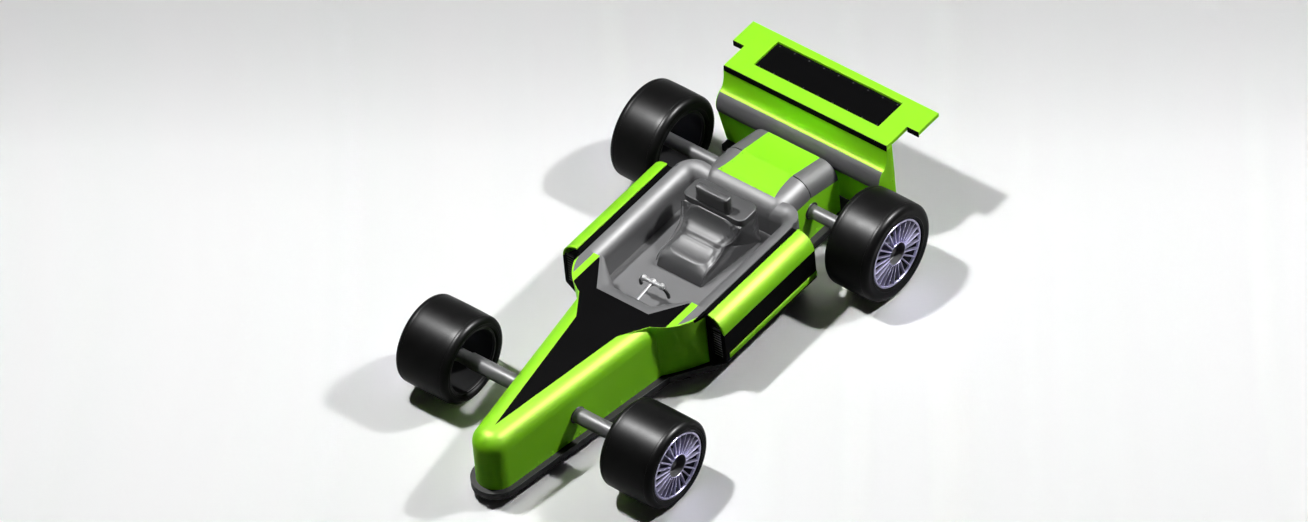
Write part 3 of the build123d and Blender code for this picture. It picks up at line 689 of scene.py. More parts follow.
def screw_heads(patch: Patchwork, places: np.ndarray, way: Point, radius: float) -> Patchwork:
    """Adds low domed screw heads with a socket, all facing one way.

    Ring k of a head has a radius of a_k * R and stands b_k * R along the way, from the table of rings.

    Args:
        patch: Piece that takes them.
        places: Rows of points on the surface.
        way: Direction that they face.
        radius: Radius R of a head.

    Returns:
        The piece.
    """
    out = np.array(way, float) / np.linalg.norm(way)
    first = np.cross(out, np.eye(3)[int(np.argmin(np.abs(out)))])
    first /= np.linalg.norm(first)
    angle = np.linspace(0, tau, HEAD_SIDES, endpoint=False)[:, None]
    circle = np.cos(angle) * first + np.sin(angle) * np.cross(out, first)
    head = radius * (HEAD_RINGS[:, 0, None, None] * circle + HEAD_RINGS[:, 1, None, None] * out)
    for place in places:
        patch.add(place + head, False, True)
    return patch


# Pieces of the car

@dataclass
class Assembly:
    """A group of pieces that are dressed together and ride on one body of the frame."""

    shop: Paintshop
    body: str = "chassis"

    @staticmethod
    def sided(name: str, side: Side) -> Patchwork:
        """Empty piece of one side of the car, drawn as on the left."""
        return Patchwork(f"{name}_{side.word}", side.value)

    def place(self, piece: bpy.types.Object, slot: str, *stands_for: str) -> bpy.types.Object:
        """Rides a piece on the body, dresses it and hides the nodes that it stands for.

        Args:
            piece: The new piece.
            slot: The record's material slot.
            *stands_for: Nodes that it replaces.

        Returns:
            The piece.
        """
        self.shop.coat(piece, slot)
        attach(piece, self.body)
        if stands_for:
            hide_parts(*stands_for)
        LOG.info("%s: %d faces on %s", piece.name, len(piece.data.polygons), self.body)
        return piece


@dataclass
class Wheel(Assembly):
    """Slick tyre and spoked rim of one corner, on the sizes of their nodes."""

    end: AxleEnd = AxleEnd.FRONT
    side: Side = Side.LEFT
    turns: int = 144
    tyre_fit: float = 0.0003
    tyre_rounding: int = 4
    bead: float = 0.014
    bead_round: float = 0.004
    wall_in: float = 0.003
    wall_round: float = 0.002
    rib: float = 0.002
    rib_heights: Row = (0.004, 0.006, 0.011, 0.013)
    step_shape: Row = (0.0, 1.0, 1.0, 0.0)
    shoulder: float = 0.042
    shoulder_fall: float = 0.002
    shoulder_round: float = 0.006
    shoulder_turn: Spot = (4.0, 86.0)
    shoulder_steps: int = 12
    groove: float = 0.0015
    groove_in: float = 0.004
    groove_round: float = 0.0005
    groove_steps: Row = (0.0, 0.001, 0.003, 0.004)
    crown: float = 0.002
    tread_shares: Row = (0.75, 0.5, 0.25)
    rim_rounding: int = 5
    rim_edge: float = 0.003
    fine_edge: float = 0.001
    barrel: float = 0.008
    lip: float = 0.014
    lip_flat: float = 0.012
    lip_slope: float = 0.020
    lip_round: float = 0.004
    lip_seat: float = 0.006
    cup_radius: float = 0.085
    cup_wall: float = 0.007
    cup_edge: float = 0.002
    well_wall: float = 0.0025
    well_round: float = 0.008
    hub_recess: float = 0.061
    hub_thick: float = 0.050
    hub_round: float = 0.004
    bore: float = 0.0205
    spokes: int = 24
    spoke_root: float = 0.004
    spoke_steps: int = 6
    spoke_depth: float = 0.024
    spoke_hub_width: float = 0.010
    spoke_rim_width: float = 0.007
    spoke_edge: float = 0.002
    spoke_rounding: int = 3
    valve_radius: float = 0.004
    valve_length: float = 0.034
    valve_in: float = 0.03
    valve_lean: Spot = (0.6, 0.8)
    valve_reach: Row = (0.0, 0.45, 0.46, 0.96, 1.0)
    valve_swell: Row = (1.3, 1.1, 0.8, 0.8, 0.6)
    valve_sides: int = 14

    def __post_init__(self) -> None:
        """Reads the tyre's and rim's places from the frame."""
        self.label = f"{self.end.value}_{self.side.word}"
        self.body = f"wheel_{self.label}"
        low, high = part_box(f"tyre_{self.label}")
        self.centre = (low + high) / 2
        self.half = (high.x - low.x) / 2
        self.radius = (high.z - low.z) / 2
        low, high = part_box(f"rim_{self.label}")
        self.rim_radius = (high.z - low.z) / 2
        ends = sorted(self.side.value * (x - self.centre.x) for x in (low.x, high.x))
        self.rim_in, self.rim_out = ends

    def turned(self, name: str, *profiles: np.ndarray) -> Patchwork:
        """Piece of this wheel made of closed sections turned round the axle.

        Args:
            name: Name of the piece without the corner's label.
            *profiles: Sections, rows of (across, radius).

        Returns:
            The piece, not yet built.
        """
        piece = Patchwork(f"{name}_{self.label}")
        for profile in profiles:
            piece.ring(profile, self.centre, self.turns, self.side.value)
        return piece

    def tyre_profile(self) -> np.ndarray:
        """Section of the tyre: beads, ribbed sidewalls, rounded shoulders, a tread crowned by a little.

        A shoulder is an arc of a circle. At a share s of its half width the tread has fallen by crown * s^2.

        Returns:
            Rows of (across, radius).
        """
        w, r, foot = self.half, self.radius, self.rim_radius + self.tyre_fit
        inner, base, top = w - self.wall_in, foot + self.bead, r - self.crown
        step = np.array(self.step_shape)
        ones = np.ones_like(step)
        rib = np.column_stack([inner + self.rib * step, base + np.array(self.rib_heights),
                               self.wall_round * ones])
        turn = np.radians(np.linspace(*self.shoulder_turn, self.shoulder_steps))
        arc = np.column_stack([w - self.shoulder * (1 - np.cos(turn)),
                               top - self.shoulder * (1 - np.sin(turn)), 0 * turn])
        edge = w - self.shoulder - self.groove_in
        line = np.column_stack([edge - np.array(self.groove_steps), top - self.groove * step,
                                self.groove_round * ones])
        share = np.array(self.tread_shares)
        tread = np.column_stack([edge * share, r - self.crown * share ** 2, 0 * share])
        half = np.concatenate([
            [(w - self.bead, foot, self.wall_round), (inner, base - self.wall_in, self.bead_round)], rib,
            [(w, r - self.shoulder - self.shoulder_fall, self.shoulder_round)], arc, line, tread])
        whole = np.concatenate([half, [(0.0, r, 0.0)], half[::-1] * (-1.0, 1.0, 1.0)])
        return rounded_outline(whole, self.tyre_rounding)

    def barrel_profile(self) -> np.ndarray:
        """Section of the barrel: a thin wall with a thick rounded lip at its inner end.

        Returns:
            Rows of (across, radius).
        """
        wall, lip, r = self.rim_radius - self.barrel, self.rim_radius - self.lip, self.rim_radius
        start, end = self.rim_in, self.rim_out - self.lip
        return rounded_outline([
            (start, lip, self.rim_edge), (start + self.lip_flat, lip, self.rim_edge),
            (start + self.lip_slope, wall, self.lip_round), (end, wall, self.fine_edge),
            (end, r, self.fine_edge), (start, r, self.rim_edge)], self.rim_rounding)

    def lip_profile(self) -> np.ndarray:
        """Section of the thick outer lip that the spokes end in.

        Returns:
            Rows of (across, radius).
        """
        lip, r, end, out = self.rim_radius - self.lip, self.rim_radius, self.rim_out - self.lip, self.rim_out
        return rounded_outline([
            (end - self.lip_seat, r - self.barrel, self.fine_edge), (end, lip, self.rim_edge),
            (out, lip, self.rim_edge), (out, r, self.rim_edge), (end - self.lip_seat, r, self.fine_edge)],
            self.rim_rounding)

    def cup_profile(self) -> np.ndarray:
        """Section of the deep hub cup outside its lining: rounded rim, straight wall, hub round its bore.

        Returns:
            Rows of (across, radius).
        """
        floor = self.rim_out - self.hub_recess - self.well_wall
        inner = self.cup_radius - self.cup_wall + self.well_wall
        back = self.rim_out - self.hub_recess - self.hub_thick
        return rounded_outline([
            (back, self.bore, self.fine_edge), (floor, self.bore, 0.0), (floor, inner, 0.0),
            (self.rim_out, inner, self.cup_edge), (self.rim_out, self.cup_radius, self.cup_edge),
            (back, self.cup_radius, self.hub_round)], self.rim_rounding)

    def well_profile(self) -> np.ndarray:
        """Section of the cup's lining: a thin wall and the hub's face round its bore.

        Returns:
            Rows of (across, radius).
        """
        face, rim = self.rim_out - self.hub_recess, self.rim_out - self.well_wall
        inner = self.cup_radius - self.cup_wall
        under, outer = face - self.well_wall, inner + self.well_wall
        return rounded_outline([
            (under, self.bore, 0.0), (face, self.bore, self.fine_edge), (face, inner, self.well_round),
            (rim, inner, self.fine_edge), (rim, outer, 0.0), (under, outer, 0.0)], self.rim_rounding)

    def spoke_fan(self) -> np.ndarray:
        """All spokes at once: a rounded blade that narrows outwards, turned round the axle.

        Returns:
            Array of shape (spokes, steps out, section points, 3).
        """
        half = self.spoke_hub_width / 2
        section = rounded_box((-half, -self.spoke_depth), (half, 0.0), self.spoke_edge, self.spoke_rounding)
        root, tip = self.cup_radius - self.spoke_root, self.rim_radius - self.barrel / 2
        steps = np.linspace(root, tip, self.spoke_steps)
        share = (steps - steps[0]) / (steps[-1] - steps[0])
        narrowing = 1.0 + (self.spoke_rim_width / self.spoke_hub_width - 1.0) * share
        across = section[None, :, 0] * narrowing[:, None]
        out = steps[:, None] * np.ones_like(across)
        along = self.rim_out + section[None, :, 1] * np.ones_like(across)
        turn = np.arange(self.spokes)[:, None, None] * tau / self.spokes
        y = out * np.cos(turn) - across * np.sin(turn)
        z = out * np.sin(turn) + across * np.cos(turn)
        x = np.broadcast_to(self.side.value * along, y.shape)
        return np.stack([self.centre.x + x, self.centre.y + y, self.centre.z + z], -1)

    def build_rim(self) -> None:
        """Barrel in black that paints the shade inside the wheel, the cup's grey lining that paints the shade
        in the hub's cup, and the pale cup and spokes that stand in the barrel.
        """
        # painted shade: the barrel takes the black grille finish to stand for the shade inside the wheel
        self.place(self.turned("rim_barrel", self.barrel_profile()).build(), "grille_black")
        # painted shade: a grey lining inside the pale cup stands for the shade in the hub's cup
        self.place(self.turned("hub_well_painted_shade", self.well_profile()).build(), "axle_metal")
        fan = self.turned("rim_spoked", self.cup_profile(), self.lip_profile())
        for blade in self.spoke_fan():
            fan.add(blade, False, True)
        self.place(fan.build(), "rim_alloy", f"rim_{self.label}")

    def build_valve(self) -> None:
        """Valve stem that leans out of the barrel between two spokes, stepped down to its cap."""
        turn = (self.spokes // 4 + 0.5) * tau / self.spokes
        way = np.array([0.0, cos(turn), sin(turn)])
        foot = np.array(self.centre) + way * (self.rim_radius - self.barrel)
        foot[0] += self.side.value * (self.rim_out - self.valve_in)
        lean = np.array([self.valve_lean[0] * self.side.value, 0.0, 0.0]) - self.valve_lean[1] * way
        reach = np.array(self.valve_reach) * self.valve_length
        radius = np.array(self.valve_swell) * self.valve_radius
        piece = Patchwork(f"valve_{self.label}").rod(foot + reach[:, None] * lean, radius, self.valve_sides)
        self.place(piece.build(), "grip_rubber")

    def build(self) -> None:
        """Builds the pieces of the wheel."""
        skin = self.turned("tyre_skin", self.tyre_profile())
        self.place(skin.build(), "tyre", f"tyre_{self.label}")
        self.build_rim()
        self.build_valve()


@dataclass
class SidePod(Assembly):
    """Painted quarter-round cover, radiator mouth and screws of one side pod."""

    side: Side = Side.LEFT
    skin: float = 0.012
    rim: float = 0.003
    rounding: int = 4
    arc_steps: int = 36
    screw_radius: float = 0.006
    screw_rows: Row = (9.0, 82.0)
    screw_count: int = 9
    screw_margin: float = 0.045
    slats: int = 11
    slat_tip: float = 0.0028
    tip_in: float = 0.002
    tip_points: int = 3
    tip_sides: int = 12
    frame_bar: float = 0.005
    frame_corner: float = 0.012
    frame_rounding: int = 6
    frame_sides: int = 10
    sill_height: float = 0.042
    sill_edge: float = 0.0015
    sill_margin: float = 0.02

    def __post_init__(self) -> None:
        """Reads the cover's and the mouth's places, as on the left side."""
        low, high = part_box("sidepod_cover_left")
        self.front, self.back = low.y, high.y
        self.centre = np.array([low.x, low.z])
        self.radius = high.x - low.x
        self.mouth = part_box("radiator_grille_left")
        self.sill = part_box("sill_strip_left")

    def patch(self, name: str) -> Patchwork:
        """Empty piece of this side."""
        return self.sided(name, self.side)

    def build_cover(self) -> None:
        """Quarter ring from the crown down to the foot, its edges rounded, carried along the pod."""
        turn = np.linspace(pi / 2, 0.0, self.arc_steps)
        arc = np.stack([np.cos(turn), np.sin(turn)], 1)
        outer = self.centre + self.radius * arc
        inner = (self.centre + (self.radius - self.skin) * arc)[::-1]
        radius = np.zeros(self.arc_steps)
        radius[[0, -1]] = self.rim
        table = np.concatenate([np.column_stack([line, radius]) for line in (outer, inner)])
        outline = rounded_outline(table, self.rounding)
        piece = self.patch("pod_cover").slab(outline, self.front, self.back, Lay.FRONT, self.rim)
        self.place(piece.build(), "body_green", f"sidepod_cover_{self.side.word}")

    def build_sill(self) -> None:
        """Slim painted strip along the foot of the pod, its edges rounded."""
        low, high = self.sill
        edge, foot = self.sill_edge, high.z - self.sill_height
        outline = rounded_outline([(low.x, foot, 0.0), (high.x, foot, edge), (high.x, high.z, edge),
                                   (low.x, high.z, 0.0)], self.rounding)
        piece = self.patch("sill_trim").slab(outline, low.y, high.y, Lay.FRONT, edge)
        self.place(piece.build(), "body_green", f"sill_strip_{self.side.word}")

    def build_screws(self) -> None:
        """Rows of screws along the cover's two long edges and the sill strip."""
        piece = self.patch("pod_screws")
        near, far = self.front + self.screw_margin, self.back - self.screw_margin
        for row in self.screw_rows:
            way = np.array([sin(radians(row)), 0.0, cos(radians(row))])
            x, z = self.centre + self.radius * way[[0, 2]]
            screw_heads(piece, spaced((x, near, z), (x, far, z), self.screw_count), way, self.screw_radius)
        low, high = self.sill
        x, z = high.x, high.z - self.sill_height / 2
        near, far = low.y + self.sill_margin, high.y - self.sill_margin
        screw_heads(piece, spaced((x, near, z), (x, far, z), self.screw_count), (1, 0, 0), self.screw_radius)
        self.place(piece.build(), "body_green")

    def build_mouth(self) -> None:
        """Round tips along the slats, and a black frame round the mouth."""
        low, high = self.mouth
        pitch = (high.z - low.z) / self.slats
        tips = self.patch("grille_tips")
        y = low.y + self.tip_in
        for height in low.z + pitch * (np.arange(self.slats) + 0.5):
            path = spaced((low.x, y, height), (high.x, y, height), self.tip_points)
            tips.rod(path, np.full(self.tip_points, self.slat_tip), self.tip_sides)
        self.place(tips.build(), "axle_metal")
        loop = rounded_box((low.x, low.z), (high.x, high.z), self.frame_corner, self.frame_rounding)
        path = np.stack([loop[:, 0], np.full(len(loop), low.y), loop[:, 1]], 1)
        tube = tube_along(path, np.full(len(path), self.frame_bar), self.frame_sides, True)
        self.place(self.patch("grille_seal").add(tube, True, True).build(), "deck_black")

    def build(self) -> None:
        """Builds the pieces of the pod."""
        self.build_cover()
        self.build_sill()
        self.build_screws()
        self.build_mouth()


@dataclass
class Tail(Assembly):
    """End plates of the tail wall, black edge strips of the wing that also paint the shade on its forward
    faces and the shadow under its front, and the screws on them.

    Spots are (y, z) on the tail's side profile.
    """

    plate: float = 0.004
    plate_edge: float = 0.0015
    foot: Spot = (1.489, 0.126)
    panel_top: Spot = (1.427, 0.429)
    roll_nose: Spot = (1.411, 0.492)
    roll_steps: int = 14
    crest: Spot = (1.457, 0.588)
    cove: Spot = (1.514, 0.598)
    cove_steps: int = 24
    neck: float = 1.521
    wing_step: float = 1.742
    strip: float = 0.004
    strip_in: float = 0.001
    strip_edge: float = 0.001
    strip_rounding: int = 3
    painted_shadow_drop: float = 0.016
    screw_radius: float = 0.006
    end_screws: tuple[Spot, ...] = ((1.510, 0.16), (1.550, 0.16), (1.450, 0.44), (1.550, 0.44), (1.545, 0.70))
    insert_screws: int = 9
    insert_margin: Spot = (0.03, 0.018)

    def __post_init__(self) -> None:
        """Reads the tail's and the wing's places."""
        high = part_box("tail_cove")[1]
        self.half, self.back, self.top = high.x, high.y, high.z
        self.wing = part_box("wing_plate")
        self.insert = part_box("wing_insert")

    def cove_line(self) -> np.ndarray:
        """Hollow of the cove: a quadratic blend of the roll's crest, the cove's corner and the wing's foot.

        Returns:
            Rows of (y, z).
        """
        t = np.linspace(0, 1, self.cove_steps)[:, None]
        crest, corner, top = np.array(self.crest), np.array(self.cove), np.array([self.neck, self.top])
        return (1 - t) ** 2 * crest + 2 * t * (1 - t) * corner + t ** 2 * top

    def end_outline(self) -> np.ndarray:
        """Side profile of the whole tail wall: straight panel, round roll, hollow cove, upright back.

        Returns:
            Rows of (y, z).
        """
        roll = arc_through(self.panel_top, self.roll_nose, self.crest, self.roll_steps)
        upright = [(self.back, self.top), (self.back, self.foot[1])]
        return np.concatenate([[self.foot], roll, self.cove_line()[1:], upright])

    def build_cove(self) -> None:
        """Cove between the roll and the wing, its hollow carried across the car."""
        outline = np.concatenate([self.cove_line(), [(self.back, self.top), (self.back, self.crest[1])]])
        piece = Patchwork("tail_cove_skin").slab(outline, -self.half, self.half, Lay.SIDE)
        self.place(piece.build(), "body_green", "tail_cove")

    def build_ends(self) -> None:
        """Thin painted plate with screws on each end of the tail wall."""
        face = self.half + self.plate
        spots = np.insert(np.array(self.end_screws), 0, face, axis=1)
        for side in Side:
            plate = self.sided("tail_end", side)
            plate.slab(self.end_outline(), self.half, face, Lay.SIDE, self.plate_edge)
            self.place(plate.build(), "body_green")
            screws = self.sided("tail_screws", side)
            screw_heads(screws, spots, (1, 0, 0), self.screw_radius)
            self.place(screws.build(), "body_green")

    def build_wing_shade_strips(self) -> None:
        """Black edge strips on the faces of the wing that look forwards, also painting the shade on those
        faces, with a lip that hangs below the wing and paints the shadow that it casts on the cove.
        """
        low, high = self.wing
        # painted shadow: the strips reach below the wing's underside to stand for its shadow on the top of
        # the cove
        bottom, top, inset = low.z - self.painted_shadow_drop, high.z - self.strip_in, self.strip_in
        piece = Patchwork("wing_edge_shade_strip")
        for x0, x1, y in ((-self.half, self.half, self.neck), (self.half, high.x, self.wing_step),
                          (-high.x, -self.half, self.wing_step)):
            outline = rounded_box((x0 + inset, bottom), (x1 - inset, top), self.strip_edge,
                                  self.strip_rounding)
            piece.slab(outline, y - self.strip, y + self.strip, Lay.FRONT, self.strip_edge)
        self.place(piece.build(), "deck_black")

    def build_insert_screws(self) -> None:
        """Screws along the two long edges of the wing's dark insert."""
        low, high = self.insert
        across, along = self.insert_margin
        piece = Patchwork("insert_screws")
        for y in (low.y + along, high.y - along):
            row = spaced((low.x + across, y, high.z), (high.x - across, y, high.z), self.insert_screws)
            screw_heads(piece, row, (0, 0, 1), self.screw_radius)
        self.place(piece.build(), "grip_rubber")

    def build(self) -> None:
        """Builds the pieces of the tail."""
        self.build_cove()
        self.build_ends()
        self.build_wing_shade_strips()
        self.build_insert_screws()


@dataclass
class BodySkin(Assembly):
    """Small hardware on the nose, deck and engine cover.

    Spots are (x, y) from above, apart from the deck's back edge, which is (y, z).
    """

    screw_radius: float = 0.007
    nose_foot: tuple[Spot, Spot] = ((0.1346, -1.8042), (0.326, -0.462))
    nose_way: Point = (0.990, -0.141, 0.0)
    nose_screws: int = 12
    foot_height: float = 0.152
    deck_edge: tuple[Spot, Spot] = ((0.012, -1.600), (0.146, -0.735))
    deck_back: Spot = (-0.462, 0.583)
    deck_slope: float = 0.0185
    deck_screws: int = 9
    cover_spots: tuple[Spot, ...] = ((0.216, 0.898), (0.197, 0.990), (0.192, 1.088), (0.192, 1.128),
                                     (0.195, 1.250), (0.198, 1.366))
    cover_fold: float = 1.107
    cover_slope: float = 0.2238
    cover_side: float = 0.350
    side_row: Spot = (0.91, 1.36)
    side_screws: int = 5
    turns: int = 64
    rounding: int = 5
    collar_bore: float = 0.0485
    collar_out: float = 0.062
    collar_thick: float = 0.006
    collar_sink: float = 0.004
    collar_bevel: float = 0.006
    collar_foot: float = 0.002
    collar_rounds: Row = (0.001, 0.003, 0.004, 0.002, 0.001)
    sleeve_radius: float = 0.0555
    sleeve_in: float = 0.19
    sleeve_out: float = 0.66
    sleeve_rounds: Row = (0.001, 0.003, 0.003, 0.003)

    def __post_init__(self) -> None:
        """Reads the axles' middles."""
        self.axles = {end: sum(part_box(f"{end.value}_axle"), Vector()) / 2 for end in AxleEnd}

    def deck_height(self, y: np.ndarray) -> np.ndarray:
        """Height of the deck, which falls evenly ahead of the nose's back."""
        return self.deck_back[1] - self.deck_slope * np.maximum(self.deck_back[0] - y, 0.0)

    def build_screws(self) -> None:
        """Rows of screws along the nose's foot, the deck panel's edges and the engine cover."""
        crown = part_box("engine_cover_top")[1].z
        (nose_start, nose_end), (deck_start, deck_end) = self.nose_foot, self.deck_edge
        nose = spaced((*nose_start, self.foot_height), (*nose_end, self.foot_height), self.nose_screws)[1:-1]
        low, high = ((self.cover_side, y, self.foot_height) for y in self.side_row)
        flank = spaced(low, high, self.side_screws)
        deck = spaced((*deck_start, 0.0), (*deck_end, 0.0), self.deck_screws)
        deck[:, 2] = self.deck_height(deck[:, 1])
        for side in Side:
            paint = self.sided("body_screws", side)
            screw_heads(paint, nose, self.nose_way, self.screw_radius)
            screw_heads(paint, flank, (1, 0, 0), self.screw_radius)
            for x, y in self.cover_spots:
                fall = self.cover_slope if y > self.cover_fold else 0.0
                spot = np.array([[x, y, crown - fall * (y - self.cover_fold)]])
                screw_heads(paint, spot, (0, fall, 1), self.screw_radius)
            self.place(paint.build(), "body_green")
            dark = self.sided("deck_screws", side)
            screw_heads(dark, deck, (0, -self.deck_slope, 1), self.screw_radius)
            self.place(dark.build(), "deck_black")

    def build_collars(self) -> None:
        """Rubber collars where the axle tubes go through the skin, square to the skin they lie on."""
        thick, bore, out, sink = self.collar_thick, self.collar_bore, self.collar_out, self.collar_sink
        rows = [(-sink, bore), (thick, bore), (thick, out - self.collar_bevel), (self.collar_foot, out),
                (-sink, out)]
        profile = rounded_outline(np.column_stack([rows, self.collar_rounds]), self.rounding)
        (x0, y0), (x1, y1) = self.nose_foot
        nose = self.axles[AxleEnd.FRONT].copy()
        nose.x = x0 + (x1 - x0) * (nose.y - y0) / (y1 - y0)
        cover = self.axles[AxleEnd.REAR].copy()
        cover.x = self.cover_side
        for name, centre, way in (("front_collar", nose, self.nose_way),
                                  ("rear_collar", cover, (1.0, 0.0, 0.0))):
            turn = np.array([[way[0], -way[1], 0.0], [way[1], way[0], 0.0], [0.0, 0.0, 1.0]])
            ring = lathe(profile, Vector(), self.turns) @ turn.T + np.array(centre)
            for side in Side:
                piece = self.sided(name, side).add(ring, True, True)
                self.place(piece.build(), "grip_rubber")

    def build_sleeves(self) -> None:
        """Round sleeves on the front axle's tube, from inside the nose to the wheel."""
        axle, bore, out = self.axles[AxleEnd.FRONT], self.collar_bore, self.sleeve_radius
        centre = Vector((0.0, axle.y, axle.z))
        start, end = self.sleeve_in, self.sleeve_out
        rows = [(start, bore), (end, bore), (end, out), (start, out)]
        profile = rounded_outline(np.column_stack([rows, self.sleeve_rounds]), self.rounding)
        for side in Side:
            piece = self.sided("axle_sleeve", side).ring(profile, centre, self.turns)
            self.place(piece.build(), "axle_metal")

    def build(self) -> None:
        """Builds the hardware."""
        self.build_screws()
        self.build_collars()
        self.build_sleeves()


@dataclass
class Coaming(Assembly):
    """Rolled coaming of the cockpit: back corners, which turn in to meet the hoop, and the roll at its front.

    Spots are (x, y) from above.
    """

    axis: Spot = (0.350, 0.7495)
    inner: float = 0.030
    roll: float = 0.100
    roll_steps: int = 16
    flat: float = 0.012
    tuck: float = 0.100
    sink: float = 0.015
    turn_steps: int = 24
    tuck_steps: int = 8
    front_edge: tuple[Spot, ...] = ((0.380, -0.177), (0.213, -0.422), (-0.213, -0.422), (-0.380, -0.177))
    front_inwards: tuple[Spot, ...] = ((-0.826, 0.563), (-0.5285, 1.0), (0.5285, 1.0), (0.826, 0.563))
    front_scale: Row = (0.25, 1.0, 1.0, 0.25)
    front_width: float = 0.110
    front_depth: float = 0.075
    front_drop: float = 0.0005
    front_stations: int = 37
    front_steps: int = 14

    def section(self) -> np.ndarray:
        """Section of the coaming from foot to foot, with a quarter-round roll on its inner side.

        Returns:
            Rows of (distance from the corner's axis, height).
        """
        floor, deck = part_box("floor_plate")[1].z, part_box("tub")[1].z
        turn = np.linspace(pi, pi / 2, self.roll_steps)
        middle = self.inner + self.roll
        roll = np.stack([np.cos(turn), np.sin(turn)], 1) * self.roll + (middle, deck - self.roll)
        out = middle + self.flat
        return np.concatenate([[(self.inner, floor)], roll, [(out, deck), (out, floor)]])

    def build_corners(self) -> None:
        """Turns the section a quarter round the axis, then runs it on into the hoop, sinking a little."""
        reach, height = self.section().T
        turn = np.linspace(0, pi / 2, self.turn_steps)[:, None]
        x, y = self.axis[0] + reach * np.cos(turn), self.axis[1] + reach * np.sin(turn)
        bend = np.stack([x, y, np.broadcast_to(height, x.shape)], -1)
        share = np.linspace(0, 1, self.tuck_steps)[1:, None, None]
        tuck = bend[-1] - share * (self.tuck, 0.0, self.sink)
        points = np.concatenate([bend, tuck])
        for side in Side:
            piece = self.sided("coaming_corner", side).run(points)
            self.place(piece.build(), "tub_grey")

    def build_front(self) -> None:
        """Quarter-round roll inside the front edge of the opening, smaller towards its two ends.

        At angle t the surface lies width * sin t inside the edge and depth * (1 - cos t) below it.
        """
        corners = np.arange(len(self.front_edge))
        stations = np.linspace(0, corners[-1], self.front_stations)
        table = np.column_stack([self.front_edge, self.front_inwards, self.front_scale])
        edge_x, edge_y, in_x, in_y, scale = (np.interp(stations, corners, row)[:, None] for row in table.T)
        turn = np.linspace(0, pi / 2, self.front_steps)
        across = np.append(np.sin(turn), 0.0) * self.front_width * scale
        below = np.append(1 - np.cos(turn), 1.0) * self.front_depth * scale
        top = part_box("tub")[1].z - self.front_drop
        points = np.stack([edge_x + in_x * across, edge_y + in_y * across, top - below], -1)
        self.place(Patchwork("coaming_front").run(points).build(), "tub_grey")

    def build(self) -> None:
        """Builds the coaming's pieces."""
        self.build_corners()
        self.build_front()


@dataclass
class SteeringWheel(Assembly):
    """Bright cross bar with round knuckles at its ends, a hub, and two ribbed grips that curl down."""

    body: str = "steering_wheel"
    centre: Point = (0.0, -0.115, 0.503)
    tilt: float = 10.0
    bar_half: float = 0.074
    bar_radius: float = 0.016
    bar_points: int = 5
    bar_sides: int = 28
    knob: float = 0.024
    knob_steps: int = 17
    hub_radius: float = 0.021
    hub_half: float = 0.018
    hub_core: float = 0.002
    hub_turns: int = 40
    hub_rounds: Row = (0.0, 0.003, 0.004, 0.001, 0.003, 0.0)
    hub_rounding: int = 5
    cap_radius: float = 0.013
    cap_height: float = 0.006
    grip_points: tuple[Spot, Spot, Spot] = ((0.070, 0.0), (0.106, 0.038), (0.112, 0.095))
    grip_radius: float = 0.0125
    grip_steps: int = 97
    grip_sides: int = 24
    grip_end: float = 0.07
    grip_close: float = 0.96
    rib: float = 0.0009
    ribs: int = 13

    def lay(self, local: np.ndarray) -> np.ndarray:
        """Sets points of the wheel in the car's frame.

        Args:
            local: Points (across, down the wheel, towards the driver).

        Returns:
            The points in the car's frame.
        """
        t = radians(self.tilt)
        axes = np.array([(1.0, 0.0, 0.0), (0.0, sin(t), -cos(t)), (0.0, cos(t), sin(t))])
        return np.asarray(local) @ axes + np.array(self.centre)

    def across(self, x: np.ndarray) -> np.ndarray:
        """Points on the bar's middle line."""
        return self.lay(np.stack([x, 0 * x, 0 * x], 1))

    def build_bar(self) -> None:
        """Bar, knuckles and hub: tubes whose radius follows a ball where there is one."""
        piece = Patchwork("steering_bar")
        along = np.linspace(-self.bar_half, self.bar_half, self.bar_points)
        piece.rod(self.across(along), np.full(self.bar_points, self.bar_radius), self.bar_sides)
        t = np.linspace(-pi / 2, pi / 2, self.knob_steps)[1:-1]
        for side in Side:
            ball = self.across(side.value * self.bar_half + self.knob * np.sin(t))
            piece.rod(ball, self.knob * np.cos(t), self.bar_sides)
        half, out, core, top = self.hub_half, self.hub_radius, self.hub_core, self.hub_half + self.cap_height
        rows = [(-half, core), (-half, out), (half, out), (half, self.cap_radius), (top, self.cap_radius),
                (top, core)]
        profile = rounded_outline(np.column_stack([rows, self.hub_rounds]), self.hub_rounding)
        hub = lathe(profile, Vector(), self.hub_turns)[..., [1, 2, 0]]
        piece.add(self.lay(hub), True, True)
        self.place(piece.build(), "column_steel")

    def build_grips(self) -> None:
        """Ribbed grips: a tube along an arc with ribs of |sin| and a rounded end."""
        piece = Patchwork("steering_grips")
        arc = arc_through(*self.grip_points, self.grip_steps)
        share = np.linspace(0, 1, self.grip_steps)
        radius = self.grip_radius - self.rib * np.abs(np.sin(self.ribs * pi * share))
        closing = np.clip((share - 1 + self.grip_end) / self.grip_end, 0, self.grip_close)
        radius *= np.sqrt(1 - closing ** 2)
        path = self.lay(np.stack([arc[:, 0], arc[:, 1], 0 * share], 1))
        for side in Side:
            piece.rod(path * (side.value, 1, 1), radius, self.grip_sides)
        self.place(piece.build(), "grip_rubber", "steering_wheel")

    def build(self) -> None:
        """Builds bar and grips."""
        self.build_bar()
        self.build_grips()


